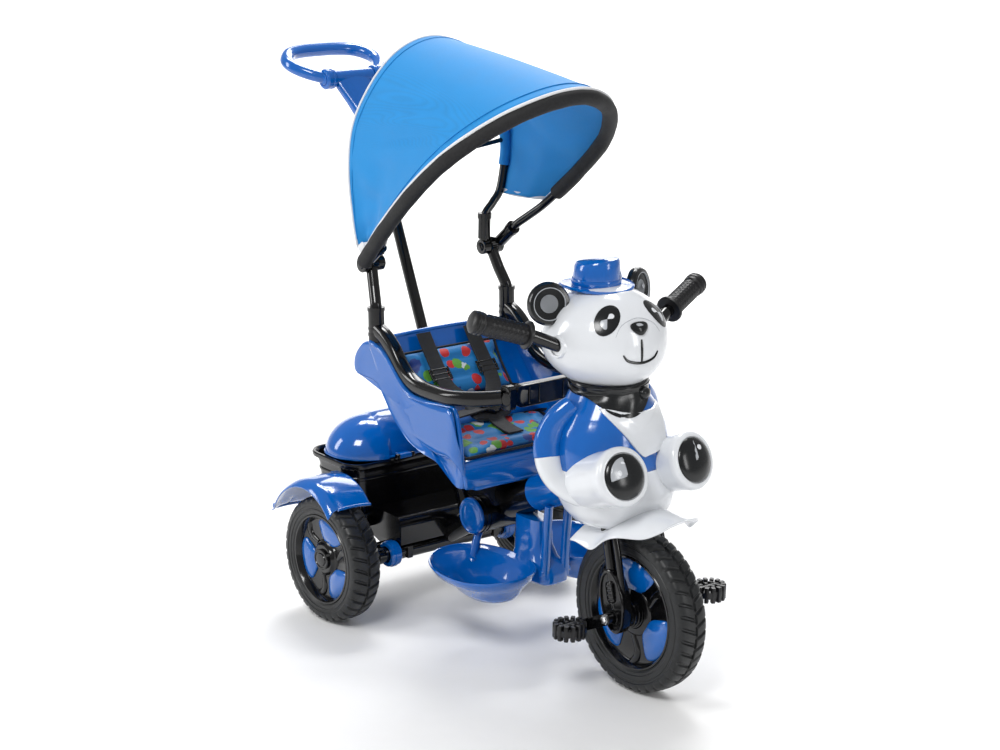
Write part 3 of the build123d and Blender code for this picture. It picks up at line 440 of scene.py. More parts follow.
# ---------------------------------------------------------------- finishes
@dataclass(frozen=True)
class Finish:
    """One finish of the tricycle, which makes its material on first use."""

    name: str
    slot: str
    color: tuple[float, float, float]
    roughness: float = 0.25
    drift: float = 0.05
    rub: float = 0.06
    coat: float = 0.0
    sheen: float = 0.0
    metallic: float = 0.0
    grain: float = 500.0
    relief: float = 0.04
    depth: float = 0.0002

    def material(self) -> bpy.types.Material:
        """The finish's material, made once."""
        made = bpy.data.materials.get(self.name)
        return made or self.build()

    def build(self) -> bpy.types.Material:
        """Make the material from the shared groups and this finish's own values."""
        material = bpy.data.materials.new(self.name)
        material.use_nodes = True
        hand = Nodes(material.node_tree)
        shader = material.node_tree.nodes["Principled BSDF"]
        shader.inputs["Metallic"].default_value = self.metallic
        shader.inputs["Coat Weight"].default_value = self.coat
        shader.inputs["Coat Roughness"].default_value = 0.06
        shader.inputs["Sheen Weight"].default_value = self.sheen
        wear = hand.new("ShaderNodeGroup", node_tree=WEAR)
        wear.inputs["Drift"].default_value = self.drift
        wear.inputs["Roughness"].default_value = self.roughness
        wear.inputs["Rub"].default_value = self.rub
        self.tint(hand, wear.inputs["Color"])
        hand.link(wear.outputs["Color"], shader.inputs["Base Color"])
        hand.link(wear.outputs["Roughness"], shader.inputs["Roughness"])
        bump = hand.new("ShaderNodeBump", Strength=self.relief, Distance=self.depth)
        hand.link(self.height(hand), bump.inputs["Height"])
        hand.link(bump.outputs[0], shader.inputs["Normal"])
        return material

    def tint(self, hand: Nodes, target: bpy.types.NodeSocket) -> None:
        """Set or wire the colour that the wear group starts from."""
        target.default_value = (*self.color, 1.0)

    def height(self, hand: Nodes) -> bpy.types.NodeSocket:
        """The relief under the gloss."""
        grain = hand.new("ShaderNodeGroup", node_tree=GRAIN)
        grain.inputs["Scale"].default_value = self.grain
        return grain.outputs["Height"]


@dataclass(frozen=True)
class Cloth(Finish):
    """A woven cloth."""

    threads: float = 2600.0

    def tint(self, hand: Nodes, target: bpy.types.NodeSocket) -> None:
        """Paint a little shade into the gaps between the threads."""
        weave = hand.new("ShaderNodeGroup", node_tree=WEAVE)
        weave.inputs["Threads"].default_value = self.threads
        # painted shade: the gaps between the threads take up to half of a colour darkened to 72 percent
        dark = tuple(0.72 * c for c in self.color)
        share = hand.math("MULTIPLY", weave.outputs["Gap shade"], 0.5)
        hand.link(hand.mix(share, (*self.color, 1.0), (*dark, 1.0)), target)

    def height(self, hand: Nodes) -> bpy.types.NodeSocket:
        """The threads' relief."""
        weave = hand.new("ShaderNodeGroup", node_tree=WEAVE)
        weave.inputs["Threads"].default_value = self.threads
        return weave.outputs["Height"]


@dataclass(frozen=True)
class PrintedCloth(Cloth):
    """A woven cloth printed with bright round blobs on its ground colour."""

    inks: tuple[tuple[float, float, float], ...] = ((0.5, 0.012, 0.012), (0.1, 0.32, 0.03), (0.6, 0.62, 0.62),
                                                     (0.01, 0.04, 0.22))

    def tint(self, hand: Nodes, target: bpy.types.NodeSocket) -> None:
        """Lay the inks over the ground in blobs of a few centimetres."""
        color: object = (*self.color, 1.0)
        for i, ink in enumerate(self.inks):
            cells = hand.new("ShaderNodeTexVoronoi", Scale=34.0 - 5 * i, Randomness=1.0)
            shift = hand.new("ShaderNodeMapping")
            shift.inputs["Location"].default_value = (0.31 * i, 0.17 * i, 0.23 * i)
            hand.link(hand.place(), shift.inputs["Vector"])
            hand.link(shift.outputs[0], cells.inputs["Vector"])
            bend = hand.math("MULTIPLY", hand.noise(60.0 + 20 * i), 0.25)
            inside = hand.math("LESS_THAN", hand.math("ADD", cells.outputs["Distance"], bend),
                               0.44 - 0.03 * i)
            color = hand.mix(inside, color, (*ink, 1.0))
        hand.link(color, target)


@dataclass(frozen=True)
class Palette:
    """Every finish of the tricycle."""

    steel: Finish = Finish("black powder coat", "black_steel", (0.0025, 0.0025, 0.003), 0.13, coat=0.1)
    black: Finish = Finish("black moulded plastic", "black_plastic", (0.0025, 0.0025, 0.003), 0.14)
    blue: Finish = Finish("blue moulded plastic", "blue_plastic", (0.0, 0.108, 0.44), 0.13, 0.04, coat=0.6)
    white: Finish = Finish("white moulded plastic", "white_plastic", (0.74, 0.76, 0.79), 0.17, 0.02, coat=0.5)
    # this grey is painted light on the panda: highlights on the ears and nose, reflections in the eyes and on the
    # boots, and shade in the muzzle's crease
    grey: Finish = Finish("grey painted highlights and shade", "white_plastic", (0.42, 0.44, 0.47), 0.2, 0.03, coat=0.4)
    tyre: Finish = Finish("black wheel foam", "wheel_foam", (0.007, 0.008, 0.009), 0.42, 0.2, 0.2, relief=0.3)
    grip: Finish = Finish("black grip rubber", "grip_rubber", (0.004, 0.004, 0.005), 0.38, 0.1, 0.1,
                          relief=0.2)
    foam: Finish = Finish("black foam tube", "foam_sleeve", (0.004, 0.004, 0.005), 0.7, 0.2, 0.2, relief=0.6)
    scarf: Finish = Finish("black neckerchief", "scarf_black", (0.005, 0.006, 0.007), 0.2)
    bright: Finish = Finish("plated bolt", "black_steel", (0.62, 0.62, 0.63), 0.22, metallic=1.0)
    canopy: Cloth = Cloth("canopy cloth", "canopy_cloth", (0.0, 0.26, 0.66), 0.66, 0.05, 0.1, sheen=0.08,
                          relief=0.35)
    piping: Cloth = Cloth("white binding", "canopy_cloth", (0.8, 0.81, 0.83), 0.7, relief=0.3)
    print: PrintedCloth = PrintedCloth("cushion print", "cushion_print", (0.0, 0.16, 0.42), 0.55, sheen=0.15,
                                       relief=0.3)
    webbing: Cloth = Cloth("harness webbing", "webbing", (0.003, 0.003, 0.004), 0.6, 0.2, sheen=0.1,
                           relief=0.8, threads=1900.0)


PAINT = Palette()


def make(name: str, shape: Shape, finish: Finish, body: Optional[str], *nodes: str,
         shading: Shading = Shading.CRISP, wall: float = 0.0, rounds: int = 0,
         ease: float = 0.0) -> bpy.types.Object:
    """Make a piece, dress it and set it on its body.

    Args:
        name: the piece's name.
        shape: its mesh.
        finish: what it is made of.
        body: the body that it rides, or None where it is attached later or left unattached.
        nodes: the frame's nodes that it stands for.
        shading: how its faces meet.
        wall: the thickness that a sheet gets, in millimetres.
        rounds: how often it is subdivided.
        ease: the width of its eased edges, in millimetres.

    Returns:
        The piece.
    """
    mesh = bpy.data.meshes.new(name)
    mesh.from_pydata([v[:] for v in shape.verts], [], shape.faces)
    tidy = bmesh.new()
    tidy.from_mesh(mesh)
    bmesh.ops.remove_doubles(tidy, verts=tidy.verts, dist=1e-6)
    loose = [v for v in tidy.verts if not v.link_faces]
    bmesh.ops.delete(tidy, geom=loose, context="VERTS")
    bmesh.ops.recalc_face_normals(tidy, faces=tidy.faces)
    tidy.to_mesh(mesh)
    tidy.free()
    mesh.shade_smooth()
    if shading is Shading.CRISP:
        mesh.set_sharp_from_angle(angle=radians(shading.value))
    piece = bpy.data.objects.new(name, mesh)
    bpy.context.scene.collection.objects.link(piece)
    if wall:
        solid = piece.modifiers.new("wall", "SOLIDIFY")
        solid.thickness, solid.offset = wall * MM, 0.0
        solid.use_even_offset = False
    if ease:
        bevel = piece.modifiers.new("eased edges", "BEVEL")
        bevel.width, bevel.segments, bevel.limit_method = ease * MM, 3, "ANGLE"
        bevel.angle_limit = radians(35)
        bevel.harden_normals = False
    if rounds:
        finer = piece.modifiers.new("finer", "SUBSURF")
        finer.levels = finer.render_levels = rounds
    piece.data.materials.append(finish.material())
    if body is not None:
        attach(piece, body)
    if nodes:
        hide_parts(*nodes)
    LOG.info("piece %s: %d faces on %s", name, len(mesh.polygons), body)
    return piece


def dress(node: str, finish: Finish) -> None:
    """Give a carried-over node of the frame its finish."""
    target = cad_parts[node]
    target.data.materials.clear()
    target.data.materials.append(finish.material())
    LOG.info("node %s: %s", node, finish.name)


# ---------------------------------------------------------------- wheels
@dataclass
class Wheel:
    """One wheel: foam tyre with slanted lugs, black rim with swept spokes, blue petals."""

    name: str
    station: float
    side: float
    radius: float
    width: float
    lugs: int
    turn: float = 75.0
    has_drums: bool = False
    outward: int = -1
    per_lug: int = 8
    groove: float = 3.2

    def __post_init__(self) -> None:
        """Work out the wheel's middle, its body and the radius of its rim."""
        self.middle = at(self.station, self.side, self.radius)
        self.body = self.name + "_wheel"
        self.seat = 0.72 * self.radius
        self.half = self.width / 2
        self.hub_half = 14.0 if self.has_drums else 19.0

    def spoke(self, angle: float, reach: float, out: float) -> Vector:
        """A point at an angle, a reach from the axle and a distance out from the wheel's middle."""
        return self.middle + Vector((reach * cos(angle), out, reach * sin(angle))) * MM

    def tyre(self) -> Shape:
        """The tyre: every column of the tread leans with the lugs, so their edges stay crisp."""
        h, r, s = self.half, self.radius, self.seat
        crown = [0.05, 0.10, 0.30, 0.55, 0.78]
        wall = [(0.93, r - 6), (1.0, r - 12), (1.0, r - 15), (0.955, r - 16), (0.955, r - 19.5),
                (0.99, r - 20.3), (0.99, s + 7), (0.94, s + 6), (0.93, s + 2), (0.84, s - 1)]
        half_line = [(a, r - 2.5 * (a / 0.8) ** 3, True) for a in crown] + [
            (a, d, i < 2) for i, (a, d) in enumerate(wall)]
        columns = [(-a, d, cut) for a, d, cut in reversed(half_line)]
        columns += [(a, d, cut) for a, d, cut in half_line]
        steps = self.lugs * self.per_lug
        rings = []
        for i in range(steps):
            ring = []
            for a, reach, cut in columns:
                lean = 0.62 * min(abs(a), 1.0) * tau / self.lugs
                phase = (i + (4 if a > 0 else 0)) % self.per_lug
                if (cut and phase < 2 and abs(a) > 0.06) or abs(a) < 0.06:
                    reach = reach - self.groove * (0.6 if abs(a) > 0.9 else 1.0)
                ring.append(self.spoke(tau * i / steps + lean, reach, a * h))
            rings.append(ring)
        return skin(rings, joined=True, capped=False)

    def rim(self) -> Shape:
        """The rim: a glossy lip, a dished web and a hub, the same on both faces."""
        h, s = self.half, self.seat
        face = [(0.80 * h, s + 0.5), (0.90 * h, s - 1.5), (0.90 * h, s - 4), (0.78 * h, s - 6),
                (0.60 * h, s - 8),
                (12.5, s - 9.5), (11, s - 13), (11, 0.30 * self.radius), (13, 0.285 * self.radius),
                (13.5, 0.27 * self.radius), (15, 26), (self.hub_half - 2, 25), (self.hub_half, 23),
                (self.hub_half, 6.2)]
        return turned(face + [(-a, r) for a, r in reversed(face)], self.middle, Vector((0, 1, 0)), 72)

    def petals(self) -> Shape:
        """Three domed petals on each face of the web."""
        made = Shape()
        inner, outer = 0.27 * self.radius, 0.655 * self.radius
        for face in (-1, 1):
            for k in range(3):
                middle = radians(self.turn + 120 * k)
                mid_reach = (inner + outer) / 2
                edge = [(mid_reach + (outer - mid_reach) * b, middle + radians(38) * a)
                        for a, b in oval(1, 1, 40, 3.4)]
                rings = []
                for share, rise in ((1.0, 9), (1.0, 12.4), (0.965, 13.8), (0.9, 14.6), (0.6, 17.0),
                                    (0.25, 18.2)):
                    rings.append([self.spoke(middle + (turn - middle) * share * (0.62 + 0.38 * reach / outer),
                                             mid_reach + (reach - mid_reach) * share,
                                             face * rise) for reach, turn in edge])
                made.add(skin(rings))
        return made

    def spokes(self) -> Shape:
        """A swept ridge along each of the three black spokes."""
        made = Shape()
        for face in (-1, 1):
            for k in range(3):
                start = radians(self.turn + 60 + 120 * k)
                path = [self.spoke(start + radians(10) * sin(pi * t / 8), (0.3 + 0.37 * t / 8) * self.radius,
                                   face * 11) for t in range(9)]
                made.add(sweep(path, oval(6.5, 3.4, 14), Vector((0, 1, 0)),
                               swell=lambda t: 0.75 + 0.45 * t))
        return made

    def cap(self) -> Shape:
        """The ringed cap over the axle's end on a rear wheel's outer face."""
        foot = self.spoke(0, 0, self.outward * (self.hub_half - 1))
        return boss(foot, Vector((1, 0, 0)), Vector((0, self.outward, 0)), oval(19, 16.5, 40),
                    [(1, 0), (1, 4.2), (0.93, 5.4), (0.82, 5.4), (0.78, 4.2), (0.66, 4.2), (0.6, 6.0),
                     (0.3, 6.8), (0.05, 6.8)])

    def drums(self) -> Shape:
        """The front hub's ribbed drums, which reach out towards the fork."""
        made = Shape()
        for face in (-1, 1):
            ribs = [(13, 24.5), (16, 24.5), (17, 22), (19, 22), (20, 24), (22, 24), (23, 21.5), (25, 21.5),
                    (26, 23), (28, 23), (29, 20), (32.5, 19), (33.6, 16), (33.6, 6.4), (13, 6.4)]
            made.add(turned([(face * a, r) for a, r in ribs], self.middle, Vector((0, 1, 0)), 48))
        return made

    def build(self) -> None:
        """Make and dress the wheel."""
        name = self.name
        make(f"{name}_foam_tyre", self.tyre(), PAINT.tyre, self.body, f"{name}_tyre")
        make(f"{name}_dished_rim", self.rim(), PAINT.black, self.body, f"{name}_rim")
        make(f"{name}_petal_inserts", self.petals(), PAINT.blue, self.body, f"{name}_petals")
        make(f"{name}_spoke_ridges", self.spokes(), PAINT.black, self.body)
        if not self.has_drums:
            make(f"{name}_ringed_cap", self.cap(), PAINT.black, self.body, f"{name}_hub_cap")
        else:
            make(f"{name}_hub_drums", self.drums(), PAINT.black, self.body)


@dataclass
class Drive:
    """The cranks, their bolts and the two studded pedals."""

    throw_back: float = 48.0
    drop: float = 24.0
    pedal_y: float = 97.5

    def pedal(self, side: Side) -> Shape:
        """A pedal: an oval tread slab with studs all round its outline on both faces."""
        middle = at(FRONT_AXLE[0] + side.value * self.throw_back, side.value * self.pedal_y,
                    FRONT_AXLE[1] + side.value * self.drop)
        x, up = Vector((1, 0, 0)), Vector((0, 0, 1))
        slab = [(0.9, -6), (1, -4.5), (1, 4.5), (0.9, 6)]
        made = boss(middle, x, up, oval(22, 24, 32, 3), slab)
        made.add(turned([(-24, 8), (-23, 9.5), (23, 9.5), (24, 8), (24, 4.3), (-24, 4.3)], middle,
                        Vector((0, 1, 0)), 24))
        for k in range(14):
            a = tau * k / 14
            place = middle + Vector((20.5 * cos(a), 22.0 * sin(a), 0)) * MM
            across = Vector((cos(a), sin(a), 0))
            made.add(boss(place, across, up, rounded_rect(8.6, 6.4, 1.4, 2),
                          [(0.9, -12), (1, -11.2), (1, 11.2), (0.9, 12)]))
        for y in (-11, 0, 11):
            for dx in (-8, 8):
                made.add(block(middle + Vector((dx, y, 0)) * MM, (9, 6, 20)))
        return made

    def bolts(self) -> Shape:
        """The domed bolts that close the axle's ends."""
        made = Shape()
        for side in Side:
            foot = at(FRONT_AXLE[0], side.value * 69, FRONT_AXLE[1])
            made.add(boss(foot, Vector((1, 0, 0)), Vector((0, side.value, 0)), oval(8, 8, 6),
                          [(1, -0.5), (1, 3), (0.9, 4), (0.6, 4), (0.55, 6), (0.1, 6.5)]))
        return made

    def build(self) -> None:
        """Make and dress the drive."""
        dress("crank", PAINT.steel)
        make("crank_bolts", self.bolts(), PAINT.bright, "front_wheel")
        for side in Side:
            make(f"studded_pedal_{side.word}", self.pedal(side), PAINT.grip, f"pedal_{side.word}_body",
                 f"pedal_{side.word}")


# ---------------------------------------------------------------- frame
@dataclass
class Undercarriage:
    """The welded frame with its moulded covers, collars and pivot caps."""

    barrel: tuple[float, float] = (172.0, 192.0)
    barrel_half: float = 56.0

    def pivot_caps(self) -> Shape:
        """The blue caps on the pivot barrel's ends."""
        made = Shape()
        for side in Side:
            foot = at(self.barrel[0], side.value * self.barrel_half, self.barrel[1])
            made.add(boss(foot, Vector((1, 0, 0)), Vector((0, side.value, 0)), oval(29, 29, 48),
                          [(1, 0), (1.03, 1), (1.03, 4), (0.98, 5.6), (0.9, 6), (0.86, 5.2), (0.8, 5.2),
                           (0.75, 6), (0.3, 6.8), (0.04, 7)]))
        return made

    def barrel_rings(self) -> Shape:
        """Moulded ribs round the pivot barrel."""
        made = Shape()
        centre = at(self.barrel[0], 0, self.barrel[1])
        for y in (-48, -40, 40, 48):
            made.add(turned([(y - 2, 28), (y - 1.4, 30.2), (y + 1.4, 30.2), (y + 2, 28)], centre,
                            Vector((0, 1, 0)), 48))
        return made

    def collars(self) -> Shape:
        """The blue collars round the cross tube, each with a raised band."""
        made = Shape()
        for side in Side:
            centre = at(36, side.value * 119, 101)
            made.add(turned([(-10, 14), (-10, 19), (-8.5, 20.5), (-4, 20.5), (-3, 22), (3, 22), (4, 20.5),
                             (8.5, 20.5), (10, 19), (10, 14)], centre, Vector((0, 1, 0)), 48))
        return made

    def build(self) -> None:
        """Dress the frame's nodes and add their moulded details."""
        for node in ("main_frame", "cross_tube", "rear_axle"):
            dress(node, PAINT.steel)
        for node in ("tube_cover", "pivot_barrel", "seat_bracket", "push_socket"):
            dress(node, PAINT.black)
        dress("tube_sleeve", PAINT.blue)
        make("pivot_round_caps", self.pivot_caps(), PAINT.blue, "chassis", "pivot_caps")
        make("pivot_barrel_ribs", self.barrel_rings(), PAINT.black, "chassis")
        make("cross_tube_collars", self.collars(), PAINT.blue, "chassis", "axle_collars")


@dataclass
class Footrest:
    """The blue footrest: two dishes, a ribbed bridge between them and its struts."""

    station: float = 250.0
    side: float = 98.0
    rim: float = 140.0
    half_length: float = 90.0
    half_width: float = 76.0

    def level(self, share: float, drop: float, side: Side, wave: float = 0.0) -> list[Vector]:
        """One outline of a dish: its cup lies ahead of and inside the dish's own middle."""
        shift = 1 - share
        ring = []
        for a, b in oval(1, 1, 72, 2.25):
            lift = wave * (3.5 * a * a - 3.0 * max(0.0, b) ** 2 - 2 * a)
            ring.append(at(self.station + 26 * shift + self.half_length * share * a,
                           side.value * (self.side - 12 * shift + self.half_width * share * b),
                           self.rim + drop + lift))
        return ring

    def dish(self, side: Side) -> Shape:
        """One dish: a shallow plate that drops into a cup, with a rolled rim and a thickness."""
        outside = [(0.1, -49.6), (0.32, -48.5), (0.5, -44), (0.6, -36), (0.68, -27), (0.82, -18), (0.93, -11),
                   (0.985, -3.5), (1.0, -0.5), (0.995, 1.6), (0.975, 1.4)]
        inside = [(0.95, -3.5), (0.9, -8), (0.8, -14), (0.65, -23.5), (0.56, -33), (0.46, -41), (0.3, -45),
                  (0.08, -46)]
        return skin([self.level(share, z, side, smooth_step((share - 0.6) / 0.4))
                     for share, z in outside + inside])

    def ribs(self) -> Shape:
        """Raised grip bars on the floors of the cups."""
        made = Shape()
        for side in Side:
            for dx in (-22, -8, 6, 20):
                path = [at(self.station + 22 + dx, side.value * (self.side - 10 + y),
                           self.rim - 45.2 + 0.012 * y * y)
                        for y in range(-16, 17, 4)]
                made.add(sweep(path, oval(2.6, 1.4, 10)))
        return made

    def bridge(self) -> Shape:
        """The saddle between the dishes, which narrows as it rises to the main tube."""
        made = Shape()
        rows = [(272, 46, 27, 108), (272, 49, 30, 111), (272, 49, 30, 126), (270, 46, 27, 136),
                (264, 38, 22, 148),
                (258, 33, 19.5, 165), (256, 31, 19, 205)]
        made.add(skin([[at(s + x, y, z) for x, y in oval(a, b, 56, 3.6)] for s, a, b, z in rows]))
        for side in Side:
            path = [at(310, side.value * 20, 118), at(313, side.value * 20, 185),
                    at(316, side.value * 20, 240)]
            made.add(sweep(curve_through(path), oval(9, 7, 20), Vector((1, 0, 0)),
                           swell=lambda t: 1.0 - 0.2 * t))
            made.add(boss(at(310, side.value * 28, 128), Vector((1, 0, 0)), Vector((0, side.value, 0.2)),
                          oval(6, 6, 24), [(1, -3), (1, 1), (0.8, 2.4), (0.2, 3)]))
            path = [at(184, side.value * 66, 122), at(180, side.value * 55, 150),
                    at(176, side.value * 43, 174)]
            made.add(sweep(curve_through(path), oval(6.5, 6.5, 18), Vector((1, 0, 0))))
            made.add(boss(at(185, side.value * 68, 120), Vector((1, 0, 0)), Vector((0, 0, 1)),
                          oval(11, 10, 24),
                          [(1.2, -3), (1, 2), (0.75, 8), (0.6, 9)]))
        return made

    def build(self) -> None:
        """Make and dress the footrest."""
        for side in Side:
            make(f"foot_dish_{side.word}", self.dish(side), PAINT.blue, "chassis", "footrest")
        make("foot_dish_grips", self.ribs(), PAINT.blue, "chassis")
        make("footrest_bridge", self.bridge(), PAINT.blue, "chassis")


# ---------------------------------------------------------------- tub, lid and fenders
@dataclass
class RearBox:
    """The storage tub, its domed lid and the two fenders."""

    middle: float = -79.0
    length: float = 138.0
    half_width: float = 164.0
    floor: float = 128.0
    top: float = 244.0
    crown_half: float = 80.0

    def tub(self) -> Shape:
        """The tub as one wall: out from the floor, over the flared lip and down inside."""
        levels = [(42, 30, self.floor), (40, 30, self.floor + 2), (30, 30, 170), (19, 30, 225), (14, 30, 232),
                  (2, 33, 236), (0, 34, 239), (0, 34, 242), (3, 33, self.top), (9, 31, self.top),
                  (14, 29, 241),
                  (22, 27, 225), (33, 27, 170), (44, 26, self.floor + 5)]
        rings = []
        for less, corner, z in levels:
            ring = rounded_rect(self.length - less, 2 * self.half_width - less, corner)
            rings.append([at(self.middle + a, b, z) for a, b in ring])
        return skin(rings)

    def tub_panels(self) -> Shape:
        """Raised bands round the tub's outside."""
        made = Shape()
        for z, less in ((150, 34.2), (215, 21.0)):
            ring = rounded_rect(self.length - less, 2 * self.half_width - less, 30)
            path = [at(self.middle + a, b, z) for a, b in ring]
            made.add(sweep(path, oval(1.6, 3.2, 10), closed=True))
        return made

    def lid(self) -> Shape:
        """The lid: a barrel crown that stands a little proud of the rounded ends."""
        rings = []
        corner = 1 / 1.9
        for i in range(15):
            t = sin(pi / 2 * i / 14.3)
            reach = sqrt(max(0.0, 1 - t * t))
            ring = []
            for k in range(96):
                a = tau * k / 96
                x, y = 67 * reach * cos(a), self.crown_half * max(-1, min(1, 1.9 * sin(a)))
                on_crown = abs(sin(a)) < corner
                if not on_crown:
                    share = (abs(sin(a)) - corner) / (1 - corner)
                    x = (1 if cos(a) > 0 else -1) * 65.4 * reach * sqrt(max(0, 1 - share * share)) * 0.999
                    y = (1 if a < pi else -1) * (self.crown_half + 1.5)
                    y += (1 if a < pi else -1) * 76 * reach * share
                lift = 62.5 if on_crown else 60.6
                ring.append(at(self.middle + x, y, self.top + 0.6 + lift * t))
            rings.append(ring)
        return skin(rings, capped=True)

    def lid_trim(self) -> Shape:
        """The lid's rolled bottom edge and its two hinge knuckles."""
        made = Shape()
        edge = []
        for k in range(80):
            a = tau * k / 80
            x, y = oval(1, 1, 80, 2.6)[k]
            edge.append(at(self.middle + 66.5 * x, 157 * y, self.top + 2.4))
        made.add(sweep(edge, oval(1.8, 2.0, 10), closed=True))
        for side in Side:
            made.add(turned([(-11, 4.5), (11, 4.5), (11, 2.2), (-11, 2.2)], at(-6, side.value * 60, 248),
                            Vector((0, 1, 0)), 20))
            made.add(block(at(-13, side.value * 60, 249), (12, 22, 6)))
        return made

    def hinge_lugs(self) -> Shape:
        """The tub's lugs and pins that carry the lid."""
        made = Shape()
        for side in Side:
            for y in (45, 75):
                foot = at(-6, side.value * y - 3, 248)
                made.add(boss(foot, Vector((1, 0, 0)), Vector((0, 1, 0)), rounded_rect(8, 9, 3.5),
                              [(0.9, 0), (1, 0.7), (1, 5.3), (0.9, 6)]))
            made.add(sweep([at(-6, side.value * 45, 248), at(-6, side.value * 75, 248)], oval(2, 2, 12)))
        return made

    def fender(self, side: Side) -> Shape:
        """A fender: crowned across, turned down at its outer edge, flared at its tail."""
        line = [(52, 204), (28, 224), (-8, 236), (-45, 231), (-78, 212), (-104, 186), (-120, 168),
                (-129, 161)]
        spine = flat_curve(line, 6, closed=False)
        rows = []
        for i, (s, z) in enumerate(spine):
            flare = 1 - 0.05 * smooth_step((i - 24) / 16)
            row = []
            for k in range(15):
                t = k / 14
                y = 172 + (255 - 172) * t
                droop = 3.0 * (2 * t - 1) ** 2 + 13 * max(0.0,
                                                          (t - 0.8) / 0.2) ** 2 * (1 - 0.7 * (i / len(spine)))
                row.append(at(s, side.value * min(254.5, y * flare if t > 0.5 else y), z - droop))
            rows.append(row)
        return skin(rows, ring_closed=False)

    def fender_trim(self, side: Side) -> Shape:
        """The rolled tail lip, the edge bead and the bracket to the tub."""
        made = Shape()
        tail = [at(-130, side.value * y, 161 - 3.0 * (2 * (y - 172) / 83 - 1) ** 2)
                for y in range(173, 243, 8)]
        made.add(sweep(tail, oval(5, 4, 14), Vector((1, 0, 0))))
        front = [at(52, side.value * y, 204 - 3.0 * (2 * (y - 172) / 83 - 1) ** 2)
                 for y in range(172, 240, 9)]
        made.add(sweep(front, oval(2.4, 2.4, 12), Vector((1, 0, 0))))
        made.add(block(at(-40, side.value * 166, 214), (48, 14, 26)))
        return made

    def build(self) -> None:
        """Make and dress the rear box."""
        make("rear_tub", self.tub(), PAINT.black, "chassis", "storage_tub")
        make("rear_tub_bands", self.tub_panels(), PAINT.black, "chassis")
        make("lid_lugs", self.hinge_lugs(), PAINT.black, "chassis")
        make("domed_lid", self.lid(), PAINT.blue, "lid", "trunk_lid")
        make("domed_lid_edge", self.lid_trim(), PAINT.blue, "lid")
        for side in Side:
            make(f"rear_fender_{side.word}", self.fender(side), PAINT.blue, "chassis", f"fender_{side.word}",
                 wall=3.0, rounds=1)
            make(f"rear_fender_{side.word}_trim", self.fender_trim(side), PAINT.blue, "chassis")


